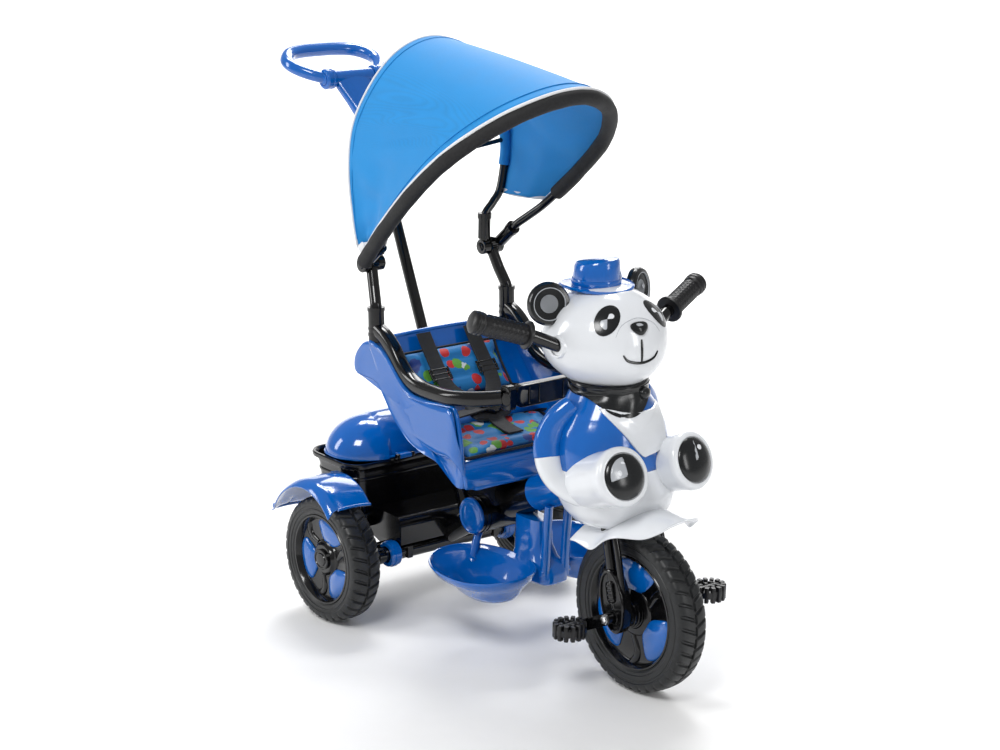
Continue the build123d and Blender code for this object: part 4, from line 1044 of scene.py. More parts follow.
# ---------------------------------------------------------------- seat
@dataclass
class Seat:
    """The bucket seat with its cushions and harness."""

    half_width: float = 145.0
    wall: float = 4.5

    def shell(self) -> Shape:
        """The bucket: a U-shaped section carried from the apron's foot to the backrest's top."""
        floor = [(246, 268), (244, 288), (236, 303), (216, 309), (188, 309), (155, 314), (123, 323),
                 (97, 340),
                 (75, 359), (55, 381), (36, 402), (20, 432), (8, 457)]
        edge = [(240, 276), (240, 316), (236, 350), (226, 392), (200, 394), (165, 393), (131, 394),
                (112, 398),
                (97, 408), (78, 424), (60, 440), (38, 452), (14, 459)]
        floor, edge = flat_curve(floor, 4, False), flat_curve(edge, 4, False)
        rings = []
        for i, ((fs, fz), (es, ez)) in enumerate(zip(floor, edge)):
            half = self.half_width - 16 * (1 - smooth_step(i / 12))
            corner = 26.0
            ring = []
            for k in range(9):
                t = k / 8
                ring.append((es + (fs - es) * t ** 1.1 * 0.82, half, ez + (fz - ez) * t * 0.82))
            for k in range(1, 7):
                a = pi / 2 * k / 6
                t = 0.82 + 0.18 * sin(a)
                ring.append((es + (fs - es) * t, half - corner * (1 - cos(a)), ez + (fz - ez) * t))
            flat = [(fs, (half - corner) * (1 - k / 7), fz) for k in range(1, 8)]
            ring += flat
            full = ring + [(s, -y, z) for s, y, z in reversed(ring[:-1])]
            crown = 4.0 * smooth_step((i - 38) / 10)
            rings.append([at(s, y, z + crown * (1 - (y / half) ** 2)) for s, y, z in full])
        return skin(rings, ring_closed=False)

    def wings(self) -> Shape:
        """The side walls behind and below the bucket, with rounded edges."""
        outline = [(-2, 456), (-20, 441), (-29, 427), (-31, 412), (-24, 401), (4, 400), (31, 397), (52, 376),
                   (71, 354), (95, 334), (120, 318), (152, 308), (186, 301), (210, 283), (226, 270),
                   (236, 268), (241, 277), (239, 310), (233, 350), (222, 391), (205, 395), (165, 393),
                   (131, 394), (112, 398), (97, 408), (78, 424), (60, 440), (38, 452), (20, 457)]
        outline = flat_curve(outline, 3)
        made = Shape()
        for side in Side:
            rings = []
            middle = (110.0, 370.0)
            for share, y in ((0.985, 139.5), (1.0, 141), (1.0, 144.5), (0.985, 147), (0.96, 148), (0.9, 147),
                             (0.8, 146.6), (0.5, 147.5), (0.15, 148)):
                ring = []
                for s, z in outline:
                    lean = 15 * smooth_step((s - 150) / 110)
                    ring.append(at(middle[0] + (s - middle[0]) * share,
                                   side.value * (y - lean), middle[1] + (z - middle[1]) * share))
                rings.append(ring)
            made.add(skin(rings))
        return made

    def rim(self) -> Shape:
        """The rolled rim along the bucket's top, from one arm round the back to the other."""
        edge = [(238, 310), (234, 350), (222, 391), (205, 395), (165, 393), (131, 394), (112, 398), (97, 408),
                (78, 424), (60, 440), (38, 452), (14, 459)]
        right = [at(s, -self.half_width + 14 * smooth_step((s - 150) / 110), z) for s, z in edge]
        back = [at(9, -118, 458.5), at(8, -65, 460.3), at(8, 0, 461.3)]
        path = right + back + [Vector((p.x, -p.y, p.z)) for p in reversed(right + back[:-1])]
        return sweep(curve_through(path, 5), oval(4.2, 3.4, 14))

    def apron(self) -> Shape:
        """The rolled foot of the apron."""
        path = [at(236, y, 269 + 4 * (abs(y) / 130) ** 3) if abs(y) > 110 else at(246, y, 268)
                for y in range(-130, 131, 10)]
        return sweep(curve_through(path, 2), oval(4, 3.6, 12))

    def cushion(self, name: str, node: str, line: Flat, half: float, thick: float,
                seams: Sequence[float]) -> None:
        """One padded cushion, blown up by a short cloth simulation inside its seams.

        Args:
            name: the piece's name.
            node: the frame's node that it replaces.
            line: its under surface from end to end, as (station, height).
            half: its half width in millimetres.
            thick: its thickness at the middle.
            seams: the places of its sewn channels as shares of its length.
        """
        spine = flat_curve(line, 8, closed=False)
        count, across = len(spine), 30
        top, low = [], []
        for i, (s, z) in enumerate(spine):
            before, after = spine[max(0, i - 1)], spine[min(count - 1, i + 1)]
            length = sqrt((after[0] - before[0]) ** 2 + (after[1] - before[1]) ** 2)
            normal = ((before[1] - after[1]) / length, (after[0] - before[0]) / length)
            if normal[1] < 0:
                normal = (-normal[0], -normal[1])
            t = 2 * i / (count - 1) - 1
            row_top, row_low = [], []
            for k in range(across + 1):
                u = 2 * k / across - 1
                pull = 1 - 0.035 * (1 - t * t) * abs(u) ** 3
                crown = max(0.0, (1 - abs(t) ** 4)) ** 0.5 * max(0.0, (1 - abs(u) ** 5)) ** 0.5
                sewn = min([1.0] + [abs((t + 1) / 2 - seam) * 14 for seam in seams])
                sewn = min(sewn, abs(abs(u) - 0.66) * 12)
                rise = thick * crown * (0.58 + 0.42 * min(1.0, sewn))
                row_top.append(at(s + normal[0] * rise, half * u * pull, z + normal[1] * rise))
                row_low.append(at(s, half * u * pull, z))
            top.append(row_top)
            low.append(row_low)
        shape = skin(top, ring_closed=False).add(skin([list(r) for r in low], ring_closed=False))
        for row_a, row_b in ((top[0], low[0]), (top[-1], low[-1])):
            shape.add(skin([row_a, row_b], ring_closed=False))
        for k in (0, across):
            shape.add(skin([[r[k] for r in top], [r[k] for r in low]], ring_closed=False))
        piece = make(name, shape, PAINT.print, None, shading=Shading.SMOOTH)
        puff(piece, pressure=2.0, cap=3.0)
        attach(piece, "chassis")
        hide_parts(node)

    def binding(self) -> Shape:
        """The dark binding sewn round both cushions."""
        made = Shape()
        for line, half in (([(124, 328), (188, 314), (230, 313)], 116),
                           ([(80, 362), (47, 400), (28, 433)], 96)):
            spine = [Vector((s, z, 0)) for s, z in flat_curve(line, 8, False)]
            loop = [at(p.x, -half, p.y) for p in spine] + [at(p.x, half, p.y) for p in reversed(spine)]
            made.add(sweep(curve_through(loop, 2, closed=True), oval(2.0, 2.4, 10), closed=True))
        return made

    def strap(self, middle: float) -> Shape:
        """One shoulder strap of flat webbing, from the backrest's top down to the buckle."""
        line = [(24, 460), (38, 441), (57, 418), (78, 395), (96, 378), (116, 364), (137, 356)]
        path = [at(s, middle * (1 - 0.72 * smooth_step((s - 80) / 60)), z + 1) for s, z in line]
        return sweep(curve_through(path, 6), rounded_rect(28, 3.0, 1.2, 3), Vector((0.7, 0, 0.7)))

    def harness(self) -> Shape:
        """The straps, the crotch strap and the lap straps, as flat webbing."""
        made = self.strap(48).add(self.strap(-48))
        crotch = [at(141, 0, 357), at(160, 0, 340), at(186, 0, 333), at(208, 0, 331)]
        made.add(sweep(curve_through(crotch, 6), rounded_rect(30, 3, 1.2, 3)))
        for side in Side:
            lap = [at(140, side.value * 10, 358), at(136, side.value * 60, 352),
                   at(128, side.value * 108, 345)]
            made.add(sweep(curve_through(lap, 6), rounded_rect(26, 3, 1.2, 3)))
        return made

    def pad(self) -> Shape:
        """The padded cover behind the buckle."""
        return boss(at(134, 0, 353), Vector((0, 1, 0)), Vector((0.5, 0, 0.87)), oval(40, 26, 40, 3),
                    [(1, -2), (1.03, 1), (0.98, 3.5), (0.85, 5), (0.4, 6), (0.1, 6.2)])

    def hardware(self) -> Shape:
        """The round buckle and the ladder sliders on both shoulder straps."""
        out = Vector((0.5, 0, 0.87))
        made = boss(at(138, 0, 358), Vector((0, 1, 0)), out, oval(19, 19, 40),
                    [(1, 0), (1.03, 1.2), (1.03, 6), (0.95, 8), (0.8, 8), (0.76, 6.8), (0.55, 6.8),
                     (0.5, 8.6),
                     (0.2, 9.4), (0.04, 9.4)])
        for middle in (-48, 48):
            centre = at(72, middle, 402.5)
            across, way = Vector((0, 1, 0)), Vector((0.67, 0, -0.74))
            for k in (-1, 0, 1):
                p = centre + way * k * 9 * MM
                made.add(sweep([p - across * 18 * MM, p + across * 18 * MM], oval(2, 1.8, 10)))
            for k in (-1, 1):
                p = centre + across * k * 18 * MM
                made.add(sweep([p - way * 11 * MM, p + way * 11 * MM], oval(2.2, 2, 10)))
        return made

    def build(self) -> None:
        """Make and dress the seat."""
        make("bucket_seat", self.shell(), PAINT.blue, "chassis", "seat_shell", wall=self.wall,
             shading=Shading.SMOOTH)
        make("bucket_seat_sides", self.wings(), PAINT.blue, "chassis", shading=Shading.CRISP)
        make("bucket_seat_rim", self.rim(), PAINT.blue, "chassis")
        make("bucket_seat_apron_roll", self.apron(), PAINT.blue, "chassis")
        self.cushion("padded_seat", "seat_cushion", [(126, 326), (155, 318), (190, 312.5), (230, 312.5)], 116,
                     14, (0.35, 0.68))
        self.cushion("padded_back", "back_cushion", [(80, 361), (62, 381), (47, 400), (36, 417), (28, 433)],
                     96,
                     14, (0.3, 0.65))
        make("cushion_binding", self.binding(), PAINT.webbing, "chassis")
        make("harness_webbing", self.harness(), PAINT.webbing, "chassis", "harness_straps")
        make("harness_pad", self.pad(), PAINT.webbing, "chassis")
        make("harness_buckle_and_sliders", self.hardware(), PAINT.black, "chassis", "harness_hardware")


def puff(piece: bpy.types.Object, pressure: float, cap: float) -> None:
    """Blow a closed piece up with a short cloth simulation and keep the result.

    Args:
        piece: the piece; its mesh is replaced.
        pressure: the air pressure inside.
        cap: how far a point may move, in millimetres.
    """
    remesh = piece.modifiers.new("remesh", "REMESH")
    remesh.mode, remesh.voxel_size = "VOXEL", 0.0045
    apply_modifiers(piece)
    rest = [v.co.copy() for v in piece.data.vertices]
    cloth = piece.modifiers.new("cloth", "CLOTH")
    cloth.settings.use_pressure = True
    cloth.settings.uniform_pressure_force = pressure
    cloth.settings.effector_weights.gravity = 0
    cloth.settings.quality = 5
    cloth.point_cache.frame_start, cloth.point_cache.frame_end = 1, 14
    for number in range(1, 15):
        bpy.context.scene.frame_set(number)
    apply_modifiers(piece)
    bpy.context.scene.frame_set(1)
    for vertex, start in zip(piece.data.vertices, rest):
        step = vertex.co - start
        if step.length > cap * MM:
            vertex.co = start + step.normalized() * cap * MM
    piece.data.shade_smooth()
    piece.data.update()


def apply_modifiers(piece: bpy.types.Object) -> None:
    """Bake a piece's modifiers into its mesh."""
    graph = bpy.context.evaluated_depsgraph_get()
    mesh = bpy.data.meshes.new_from_object(piece.evaluated_get(graph), depsgraph=graph)
    piece.modifiers.clear()
    piece.data = mesh


# ---------------------------------------------------------------- guard ring
@dataclass
class GuardRing:
    """The two arm rails and the bar across the front."""

    bar: tuple[float, float] = (292.0, 421.0)
    rail_y: float = 134.0

    def rail(self, side: Side) -> Shape:
        """One arm rail of rounded square section."""
        y = self.rail_y
        line = [(16, y, 479), (38, y, 470), (60, y, 454), (78, y, 434), (100, y, 417), (131, y, 408),
                (170, y, 407), (205, y - 1, 409), (238, y - 10, 413), (266, y - 27, 417), (286, y - 42, 421)]
        path = [at(s, side.value * w, z) for s, w, z in line]
        return sweep(curve_through(path, 5), oval(11.8, 11.5, 24, 3.0), Vector((1, 0, 1)))

    def clasp(self, side: Side) -> Shape:
        """The rail's end: a latch block on the right, a hinge fork on the left."""
        s, z = self.bar
        if side is Side.RIGHT:
            made = block(at(s - 1, -86, z), (25, 15, 39))
            made.add(boss(at(s + 4, -93, z), Vector((0, 0, 1)), Vector((0.6, -0.8, 0)), oval(11, 8, 24),
                          [(1, 0), (1, 3), (0.85, 4.5), (0.1, 5)]))
            return made
        made = Shape()
        for ahead in (-1, 1):
            made.add(block(at(s + ahead * 9.8, 73, z), (3.4, 46, 38)))
        made.add(block(at(s, 91, z), (24, 12, 38)))
        made.add(turned([(-12.6, 0.5), (-12.6, 6), (-11, 7), (11, 7), (12.6, 6), (12.6, 0.5)], at(s, 66, z),
                        Vector((1, 0, 0)), 24))
        return made

    def front(self) -> Shape:
        """The bar across the front, with a shallow moulded panel on each face."""
        s, z = self.bar
        half, middle = 72.0, -6.0
        outline = rounded_rect(2 * half, 35, 15)
        made = boss(at(s - 7.5, middle, z), Vector((0, 1, 0)), Vector((1, 0, 0)), outline,
                    [(0.93, 0), (0.99, 0.6), (1, 2.5), (1, 12.5), (0.99, 14.4), (0.93, 15), (0.86, 15),
                     (0.84, 14.2), (0.3, 14.2), (0.04, 14.2)])
        for y in (-50, -30, 18, 38):
            made.add(block(at(s, y, z), (16, 3, 31)))
        return made

    def build(self) -> None:
        """Make and dress the guard ring."""
        for side in Side:
            make(f"arm_rail_{side.word}", self.rail(side), PAINT.black, "chassis", f"guard_rail_{side.word}")
            make(f"arm_rail_{side.word}_clasp", self.clasp(side), PAINT.black, "chassis")
        make("front_guard_bar", self.front(), PAINT.black, "guard", "guard_bar")


# ---------------------------------------------------------------- canopy
@dataclass
class Canopy:
    """The folding canopy: bows, foam, cloth with its bindings, posts and ratchets."""

    pivot: tuple[float, float] = (-18.0, 578.0)
    tilt: float = radians(41.0)
    rear_edge: tuple[tuple[float, float], ...] = ((-142, 26), (-152, 76), (-160, 152), (-153, 222),
                                                  (-121, 282),
                                                  (-77, 328), (-26, 351), (26, 351), (77, 328), (121, 282),
                                                  (153, 222), (158, 150), (148, 86))
    front_edge: tuple[tuple[float, float], ...] = ((-150, 42), (-163, 110), (-172, 215), (-165, 302),
                                                   (-141, 368),
                                                   (-97, 426), (-32, 464), (32, 464), (97, 426), (141, 368),
                                                   (165, 302), (172, 215), (164, 122))
    foam_line: tuple[tuple[float, float], ...] = ((-141, 10), (-149, 58), (-158, 120), (-165, 215),
                                                  (-158, 300),
                                                  (-134, 362), (-92, 418), (-30, 455), (30, 455), (92, 418),
                                                  (134, 362), (158, 300), (165, 215), (162, 158))

    def on_rear(self, width: float, up: float, back: float = 0.0) -> Vector:
        """A point of the rear bow's plane, some way behind it."""
        return at(self.pivot[0] - back, width, self.pivot[1] + up)

    def on_front(self, width: float, up: float, proud: float = 0.0) -> Vector:
        """A point of the front bow's plane, some way above it."""
        s = self.pivot[0] + up * cos(self.tilt) - proud * sin(self.tilt)
        return at(s, width, self.pivot[1] + up * sin(self.tilt) + proud * cos(self.tilt))

    def edges(self) -> tuple[list[Vector], list[Vector]]:
        """The cloth's rear and front edges, with equally many points."""
        rear = curve_through([self.on_rear(w, s, 9) for w, s in self.rear_edge], 8)
        front = curve_through([self.on_front(w, s, 9) for w, s in self.front_edge], 8)
        return rear, front

    def cloth(self) -> Shape:
        """The cloth as one stretched sheet, drawn in between the bows and puckered at its corners."""
        rear, front = self.edges()
        rows = []
        steps, count = 28, len(rear)
        for i in range(steps + 1):
            t = i / steps
            row = []
            for k in range(count):
                v = 2 * k / (count - 1) - 1
                p = rear[k].lerp(front[k], t)
                middle = Vector((p.x, 0, self.pivot[1] * MM + 0.12))
                outward = (p - middle).normalized()
                flank = smooth_step((abs(v) - 0.25) / 0.5)
                draw = -15 * flank * sin(pi * t)
                crest = 3 * (1 - flank) * sin(pi * t)
                pucker = 2.6 * flank * sin(pi * t) * sin(9 * t + 17 * abs(v)) * sin(31 * abs(v) - 5 * t)
                pucker += 2.2 * sin(pi * t) * exp(-(abs(v) - 0.45) ** 2 / 0.02) * sin(52 * abs(v) + 11 * t)
                fold = 3.4 * exp(-((abs(v) - 0.62 - 0.2 * t) / 0.035) ** 2) * sin(pi * t) ** 0.5
                row.append(p + outward * (draw + crest + pucker + fold) * MM)
            rows.append(row)
        return skin(rows, ring_closed=False)

    def binding(self, front: bool) -> Shape:
        """The white piping along one edge of the cloth."""
        path = self.edges()[1 if front else 0]
        return sweep(path, oval(2.9 if front else 2.2, 2.9 if front else 2.2, 10), Vector((1, 0, 0)))

    def seams(self) -> Shape:
        """A sewn seam beside each binding, as fine raised cords."""
        rear, front = self.edges()
        made = Shape()
        count = len(rear)
        for t in (0.045, 0.93):
            path = []
            for k in range(3, count - 3):
                p = rear[k].lerp(front[k], t)
                out = (p - Vector((p.x, 0, self.pivot[1] * MM + 0.12))).normalized()
                flank = smooth_step((abs(2 * k / (count - 1) - 1) - 0.25) / 0.5)
                path.append(p + out * MM * (1.3 - 15 * flank * sin(pi * t) + 3 * (1 - flank) * sin(pi * t)))
            made.add(sweep(path, oval(0.9, 0.6, 8)))
        return made

    def hems(self) -> Shape:
        """The white stitched hems along the cloth's lower side edges."""
        rear, front = self.edges()
        made = Shape()
        for k in (1, len(rear) - 2):
            path = [rear[k].lerp(front[k], t / 12) for t in range(13)]
            inward = Vector((0, -1 if rear[k].y > 0 else 1, 0)) * MM
            path = [p + inward * 15 * sin(pi * t / 12) * 0.9 for t, p in enumerate(path)]
            made.add(sweep(path, rounded_rect(9, 2.4, 1, 3), Vector((0, 1, 0))))
        return made

    def foam(self) -> Shape:
        """The foam tube on the front bow, with slightly uneven thickness."""
        path = curve_through([self.on_front(w, s) for w, s in self.foam_line], 9)
        return sweep(path, oval(12.2, 12.2, 24), Vector((1, 0, 0)),
                     swell=lambda t: 1 + 0.02 * sin(61 * t) + 0.012 * sin(143 * t))

    def bow_tube(self, front: bool) -> Shape:
        """A steel bow with its flattened lugs."""
        lines = {False: ((108.4, 0), (108.4, 50), (125, 72), (141, 96), (150, 162), (143, 214), (112, 268),
                         (72, 311), (26, 334)),
                 True: ((135.6, 0), (135.6, 60), (146, 90), (158, 128), (165, 215), (158, 300), (134, 362),
                        (92, 418), (30, 455))}
        place = self.on_front if front else self.on_rear
        halves = [place(w, s) for w, s in lines[front]]
        path = halves + [Vector((p.x, -p.y, p.z)) for p in reversed(halves)]
        made = sweep(curve_through(path, 5), oval(7, 7, 18), Vector((1, 0, 0)))
        lug = 135.6 if front else 108.4
        for side in Side:
            made.add(turned([(-7, 4.2), (-7, 11.5), (-5.5, 13), (5.5, 13), (7, 11.5), (7, 4.2)],
                            at(self.pivot[0], side.value * lug, self.pivot[1]), Vector((0, 1, 0)), 32))
        return made

    def sleeves(self, front: bool) -> Shape:
        """The moulded sleeves low on a bow's arms."""
        place = self.on_front if front else self.on_rear
        w = 135.6 if front else 108.4
        made = Shape()
        for side in Side:
            path = [place(side.value * w, s) for s in (14, 24, 34, 44, 54)]
            made.add(sweep(path, oval(10.5, 10.5, 24), Vector((1, 0, 0))))
            path = [place(side.value * w, s) for s in (48, 51, 54, 57)]
            made.add(sweep(path, oval(12, 12, 24), Vector((1, 0, 0))))
        return made

    def crossbar(self) -> Shape:
        """The thin rod between the rear bow's legs under the cloth."""
        path = [self.on_rear(143, 176), self.on_rear(70, 168), self.on_rear(0, 165), self.on_rear(-70, 168),
                self.on_rear(-143, 176)]
        return sweep(curve_through(path, 6), oval(4, 4, 14), Vector((1, 0, 0)))

    def tabs(self) -> Shape:
        """The sewn cloth tabs that hold the cloth to the rear bow."""
        made = Shape()
        for side in Side:
            path = [self.on_rear(side.value * w, s) for w, s in ((147, 134), (150, 162), (146, 196))]
            made.add(sweep(curve_through(path, 5), oval(9, 8.4, 20), Vector((1, 0, 0))))
        return made

    def ratchets(self) -> Shape:
        """The toothed hubs between the bows and the posts, with their pins' heads."""
        made = Shape()
        for side in Side:
            centre = at(self.pivot[0], side.value * 122, self.pivot[1])
            teeth = [(14.6 if k % 2 else 13.2) for k in range(48)]
            rings = []
            for y, less in ((-5.9, 0.9), (-5.2, 0), (5.2, 0), (5.9, 0.9)):
                rings.append([centre + Vector(((r - less) * cos(tau * k / 48), y,
                                               (r - less) * sin(tau * k / 48))) * MM
                              for k, r in enumerate(teeth)])
            made.add(skin(rings))
            for y in (-20.5, 20.5):
                foot = centre + Vector((0, side.value * y, 0)) * MM
                made.add(boss(foot, Vector((1, 0, 0)), Vector((0, side.value * (1 if y > 0 else -1), 0)),
                              oval(7.5, 7.5, 24), [(0.5, -2), (1, -2), (1, 0.5), (0.85, 2.2), (0.3, 3)]))
        return made

    def post_sleeves(self) -> Shape:
        """The stepped sleeves at the posts' feet."""
        made = Shape()
        for side in Side:
            for low, high, r in ((458, 512, 13.2), (508, 514, 14.4), (468, 472, 14.2), (478, 481, 14.0)):
                path = [at(15 - (z - 458) * 0.05, side.value * 134, z)
                        for z in (low, (low + high) / 2, high)]
                made.add(sweep(path, oval(r, r, 28), Vector((1, 0, 0))))
        return made

    def end_tabs(self) -> Shape:
        """The small white end tab at the right lower corner of the front binding."""
        side = Side.RIGHT.value
        return boss(self.on_front(side * 152, 34, 14), Vector((0.75, 0, 0.65)), Vector((0, side, 0)),
                    rounded_rect(18, 12, 3), [(0.9, 0), (1, 0.6), (1, 1.6), (0.9, 2)])

    def build(self) -> None:
        """Make and dress the canopy."""
        for side in Side:
            dress(f"canopy_post_{side.word}", PAINT.steel)
        make("post_sleeves", self.post_sleeves(), PAINT.black, "chassis")
        make("canopy_ratchets", self.ratchets(), PAINT.black, "chassis", "canopy_hubs")
        make("rear_bow_tube", self.bow_tube(False), PAINT.steel, "canopy_rear", "rear_bow")
        make("rear_bow_sleeves", self.sleeves(False), PAINT.black, "canopy_rear")
        make("rear_bow_crossbar", self.crossbar(), PAINT.steel, "canopy_rear")
        make("front_bow_tube", self.bow_tube(True), PAINT.steel, "canopy_front", "front_bow")
        make("front_bow_sleeves", self.sleeves(True), PAINT.black, "canopy_front")
        make("front_bow_foam", self.foam(), PAINT.foam, "canopy_front", "bow_foam")
        make("front_binding", self.binding(True), PAINT.piping, "canopy_front")
        make("rear_binding", self.binding(False), PAINT.piping, "canopy_rear")
        make("rear_bow_tabs", self.tabs(), PAINT.canopy, "canopy_rear")
        make("front_end_tabs", self.end_tabs(), PAINT.piping, "canopy_front")
        sheet = make("canopy_cover", self.cloth(), PAINT.canopy, None, "canopy_fabric",
                     shading=Shading.SMOOTH, wall=0.9)
        rear, front = self.on_rear(0, 200), self.on_front(0, 200)
        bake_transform(sheet)
        for cords in (make("canopy_seams", self.seams(), PAINT.canopy, None),
                      make("canopy_side_hems", self.hems(), PAINT.piping, None)):
            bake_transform(cords)


# ---------------------------------------------------------------- parent handle
@dataclass
class ParentHandle:
    """The push tube, its widening neck and the tilting loop."""

    lean: float = radians(24.4)
    knuckle: tuple[float, float] = (-245.0, 840.0)
    tilt: float = radians(20.0)

    def up_push(self, z: float) -> Vector:
        """A point on the push tube's middle line at a height."""
        return at(-37 - (z - 438) * sin(self.lean) / cos(self.lean), 0, z)

    def collar(self) -> Shape:
        """The stepped collar where the tube leaves its socket."""
        way = (self.up_push(500) - self.up_push(400))
        return turned([(-22, 10), (-22, 15.5), (-20, 17), (-6, 17), (-5, 18.6), (2, 18.6), (4, 17), (7, 12),
                       (7, 10)], self.up_push(440), way, 40)

    def neck(self) -> Shape:
        """The neck: round at the tube, wide and flat at the knuckle."""
        start, end = self.up_push(748), at(self.knuckle[0], 0, self.knuckle[1])
        way = (end - start).normalized()
        front = Vector((0, 1, 0)).cross(way)
        rings = []
        for t, wide, deep in ((0, 12, 12), (0.03, 14, 13.5), (0.12, 14.5, 13.5), (0.3, 18, 12.5),
                              (0.6, 27, 11.5),
                              (0.85, 36, 12), (0.97, 38.5, 12.5), (1.06, 38.5, 11), (1.1, 36, 7)):
            rings.append([start.lerp(end, t) + (Vector((0, 1, 0)) * a + front * b) * MM
                          for a, b in oval(wide, deep, 40, 2.6)])
        made = skin(rings)
        made.add(turned([(-39, 5), (-39, 12), (-37.5, 13.5), (37.5, 13.5), (39, 12), (39, 5)], end,
                        Vector((0, 1, 0)), 40))
        return made

    def loop_point(self, reach: float, side: float) -> Vector:
        """A point of the loop's plane."""
        return at(self.knuckle[0] - reach * cos(self.tilt), side, self.knuckle[1] + reach * sin(self.tilt))

    def loop(self) -> Shape:
        """The loop of rounded square section, thicker at its grip."""
        line = [(4, 50), (24, 72), (50, 86), (74, 84), (94, 66), (102, 36), (103.5, 0)]
        line += [(r, -w) for r, w in reversed(line[:-1])]
        return sweep(curve_through([self.loop_point(r, w) for r, w in line], 6), oval(11, 10.5, 24, 2.5),
                     Vector((0, 0, 1)), swell=lambda t: 0.93 + 0.09 * sin(pi * t))

    def knobs(self) -> Shape:
        """The round knuckle discs with pressed buttons."""
        made = Shape()
        for side in Side:
            centre = at(self.knuckle[0], 0, self.knuckle[1])
            ribs = [(39.6, 5.4), (39.6, 15), (41, 17), (45, 17), (46, 16), (48, 16), (49, 17), (55, 17),
                    (57.5, 14.5),
                    (57.8, 11), (56.6, 10), (56.6, 5.4)]
            made.add(turned([(side.value * a, r) for a, r in ribs], centre, Vector((0, 1, 0)), 40))
            made.add(boss(centre + Vector((0, side.value * 0.0555, 0)), Vector((1, 0, 0)),
                          Vector((0, side.value, 0)), oval(9.4, 9.4, 32),
                          [(1, 0), (1, 2.4), (0.9, 3.4), (0.1, 3.8)]))
        return made

    def build(self) -> None:
        """Make and dress the parent handle."""
        dress("push_tube", PAINT.steel)
        make("push_collar", self.collar(), PAINT.black, "chassis")
        make("push_neck", self.neck(), PAINT.blue, "push", "handle_neck")
        make("push_loop", self.loop(), PAINT.blue, "handle", "handle_loop")
        make("push_loop_knuckles", self.knobs(), PAINT.blue, "handle")


# ---------------------------------------------------------------- fork, handlebar and grips
@dataclass
class FrontEnd:
    """The fork with its covers and stays, the handlebar, the stem and the grips."""

    leg_y: float = 43.5

    def stays(self) -> Shape:
        """The thinner tubes just ahead of the fork's legs."""
        made = Shape()
        for side in Side:
            path = [steer(30, 19, side.value * 45), steer(90, 20, side.value * 45),
                    steer(128, 17, side.value * 45),
                    steer(152, 6, side.value * 45)]
            made.add(sweep(curve_through(path, 6), oval(5.4, 5.4, 16), Vector((1, 0, 0))))
        return made

    def covers(self) -> Shape:
        """The oval covers over the fork's feet: a raised rim, a slotted panel and a bolt."""
        made = Shape()
        up = steer(1) - steer(0)
        for side in Side:
            out = Vector((0, side.value, 0))
            foot = steer(24, 0, side.value * (self.leg_y - 9.2))
            made.add(boss(foot, up, out, oval(50, 25, 56),
                          [(0.9, 0), (0.98, 1), (1, 3), (1, 17), (0.985, 19.2), (0.94, 20.4), (0.88, 20.2),
                           (0.84, 17.4), (0.6, 16.8), (0.3, 17.2), (0.05, 17.4)]))
            top = steer(24, 0, side.value * (self.leg_y + 8.2))
            made.add(boss(top + up * 14, up, out, rounded_rect(34, 15, 6),
                          [(1, 0), (1, 2), (0.9, 3.2), (0.86, 1.6),
                                                                          (0.1, 1.6)]))
            for k in range(4):
                made.add(boss(top + up * (3 + 7 * k), up, out, rounded_rect(3, 12, 1.2, 2),
                              [(1, 0), (1, 2.6), (0.7, 3.2)]))
            made.add(boss(top - up * 24, up, out, oval(11.5, 11.5, 36),
                          [(1, 0), (1, 3), (0.93, 4.4), (0.72, 4.4),
                                                                      (0.68, 2.6), (0.1, 2.6)]))
        return made

    def stem(self) -> Shape:
        """The stem's tube and its clamp round the handlebar."""
        made = sweep([steer(258), steer(330), steer(397)], oval(17, 17, 32), Vector((1, 0, 0)))
        made.add(block(at(416, 0, 530), (44, 40, 40)))
        return made

    def grip(self, side: Side) -> Shape:
        """One grip: a flange, a knurled barrel and a ridged bulb at its end."""
        inner, outer = at(403, side.value * 130, 547), at(374, side.value * 220, 576)
        way = (outer - inner).normalized()
        first = way.orthogonal().normalized()
        second = way.cross(first)
        length = (outer - inner).length / MM
        rings = []
        rows = [(10, 12), (10, 20), (11.5, 21.5), (14.5, 21.5), (16, 20), (17, 16)]
        knurl = [(19 + 1.55 * k, 15.6) for k in range(int((length - 36) / 1.55))]
        bulb = [(length - 14, 14.6), (length - 12, 17), (length - 9, 17.4), (length - 8, 16.4),
                (length - 6.5, 16.4),
                (length - 5.5, 17.8), (length - 2.5, 17.8), (length - 1.5, 16.6), (length, 16.6),
                (length + 1, 17.6),
                (length + 4, 17), (length + 6.5, 13.5), (length + 7.5, 8)]
        for a, r in rows:
            rings.append((a, [r] * 60))
        for row, (a, r) in enumerate(knurl):
            rings.append((a,
                          [r + (0.9 if (k + 2 * row) % 5 < 2 or (k - 2 * row) % 5 < 1 else 0.0)
                           for k in range(60)]))
        for a, r in bulb:
            rings.append((a, [r] * 60))
        return skin([[inner + (way * a + first * (r * cos(tau * k / 60)) + second * (r * sin(tau * k / 60))) * MM
                      for k, r in enumerate(radii)] for a, radii in rings])

    def build(self) -> None:
        """Make and dress the front end."""
        dress("fork", PAINT.steel)
        dress("handlebar", PAINT.steel)
        make("fork_stays", self.stays(), PAINT.steel, "steering")
        make("fork_foot_covers", self.covers(), PAINT.black, "steering", "fork_covers")
        make("stem_and_clamp", self.stem(), PAINT.black, "steering", "stem")
        for side in Side:
            made = make(f"grip_{side.word}", self.grip(side), PAINT.grip, "steering")
            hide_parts("grips")


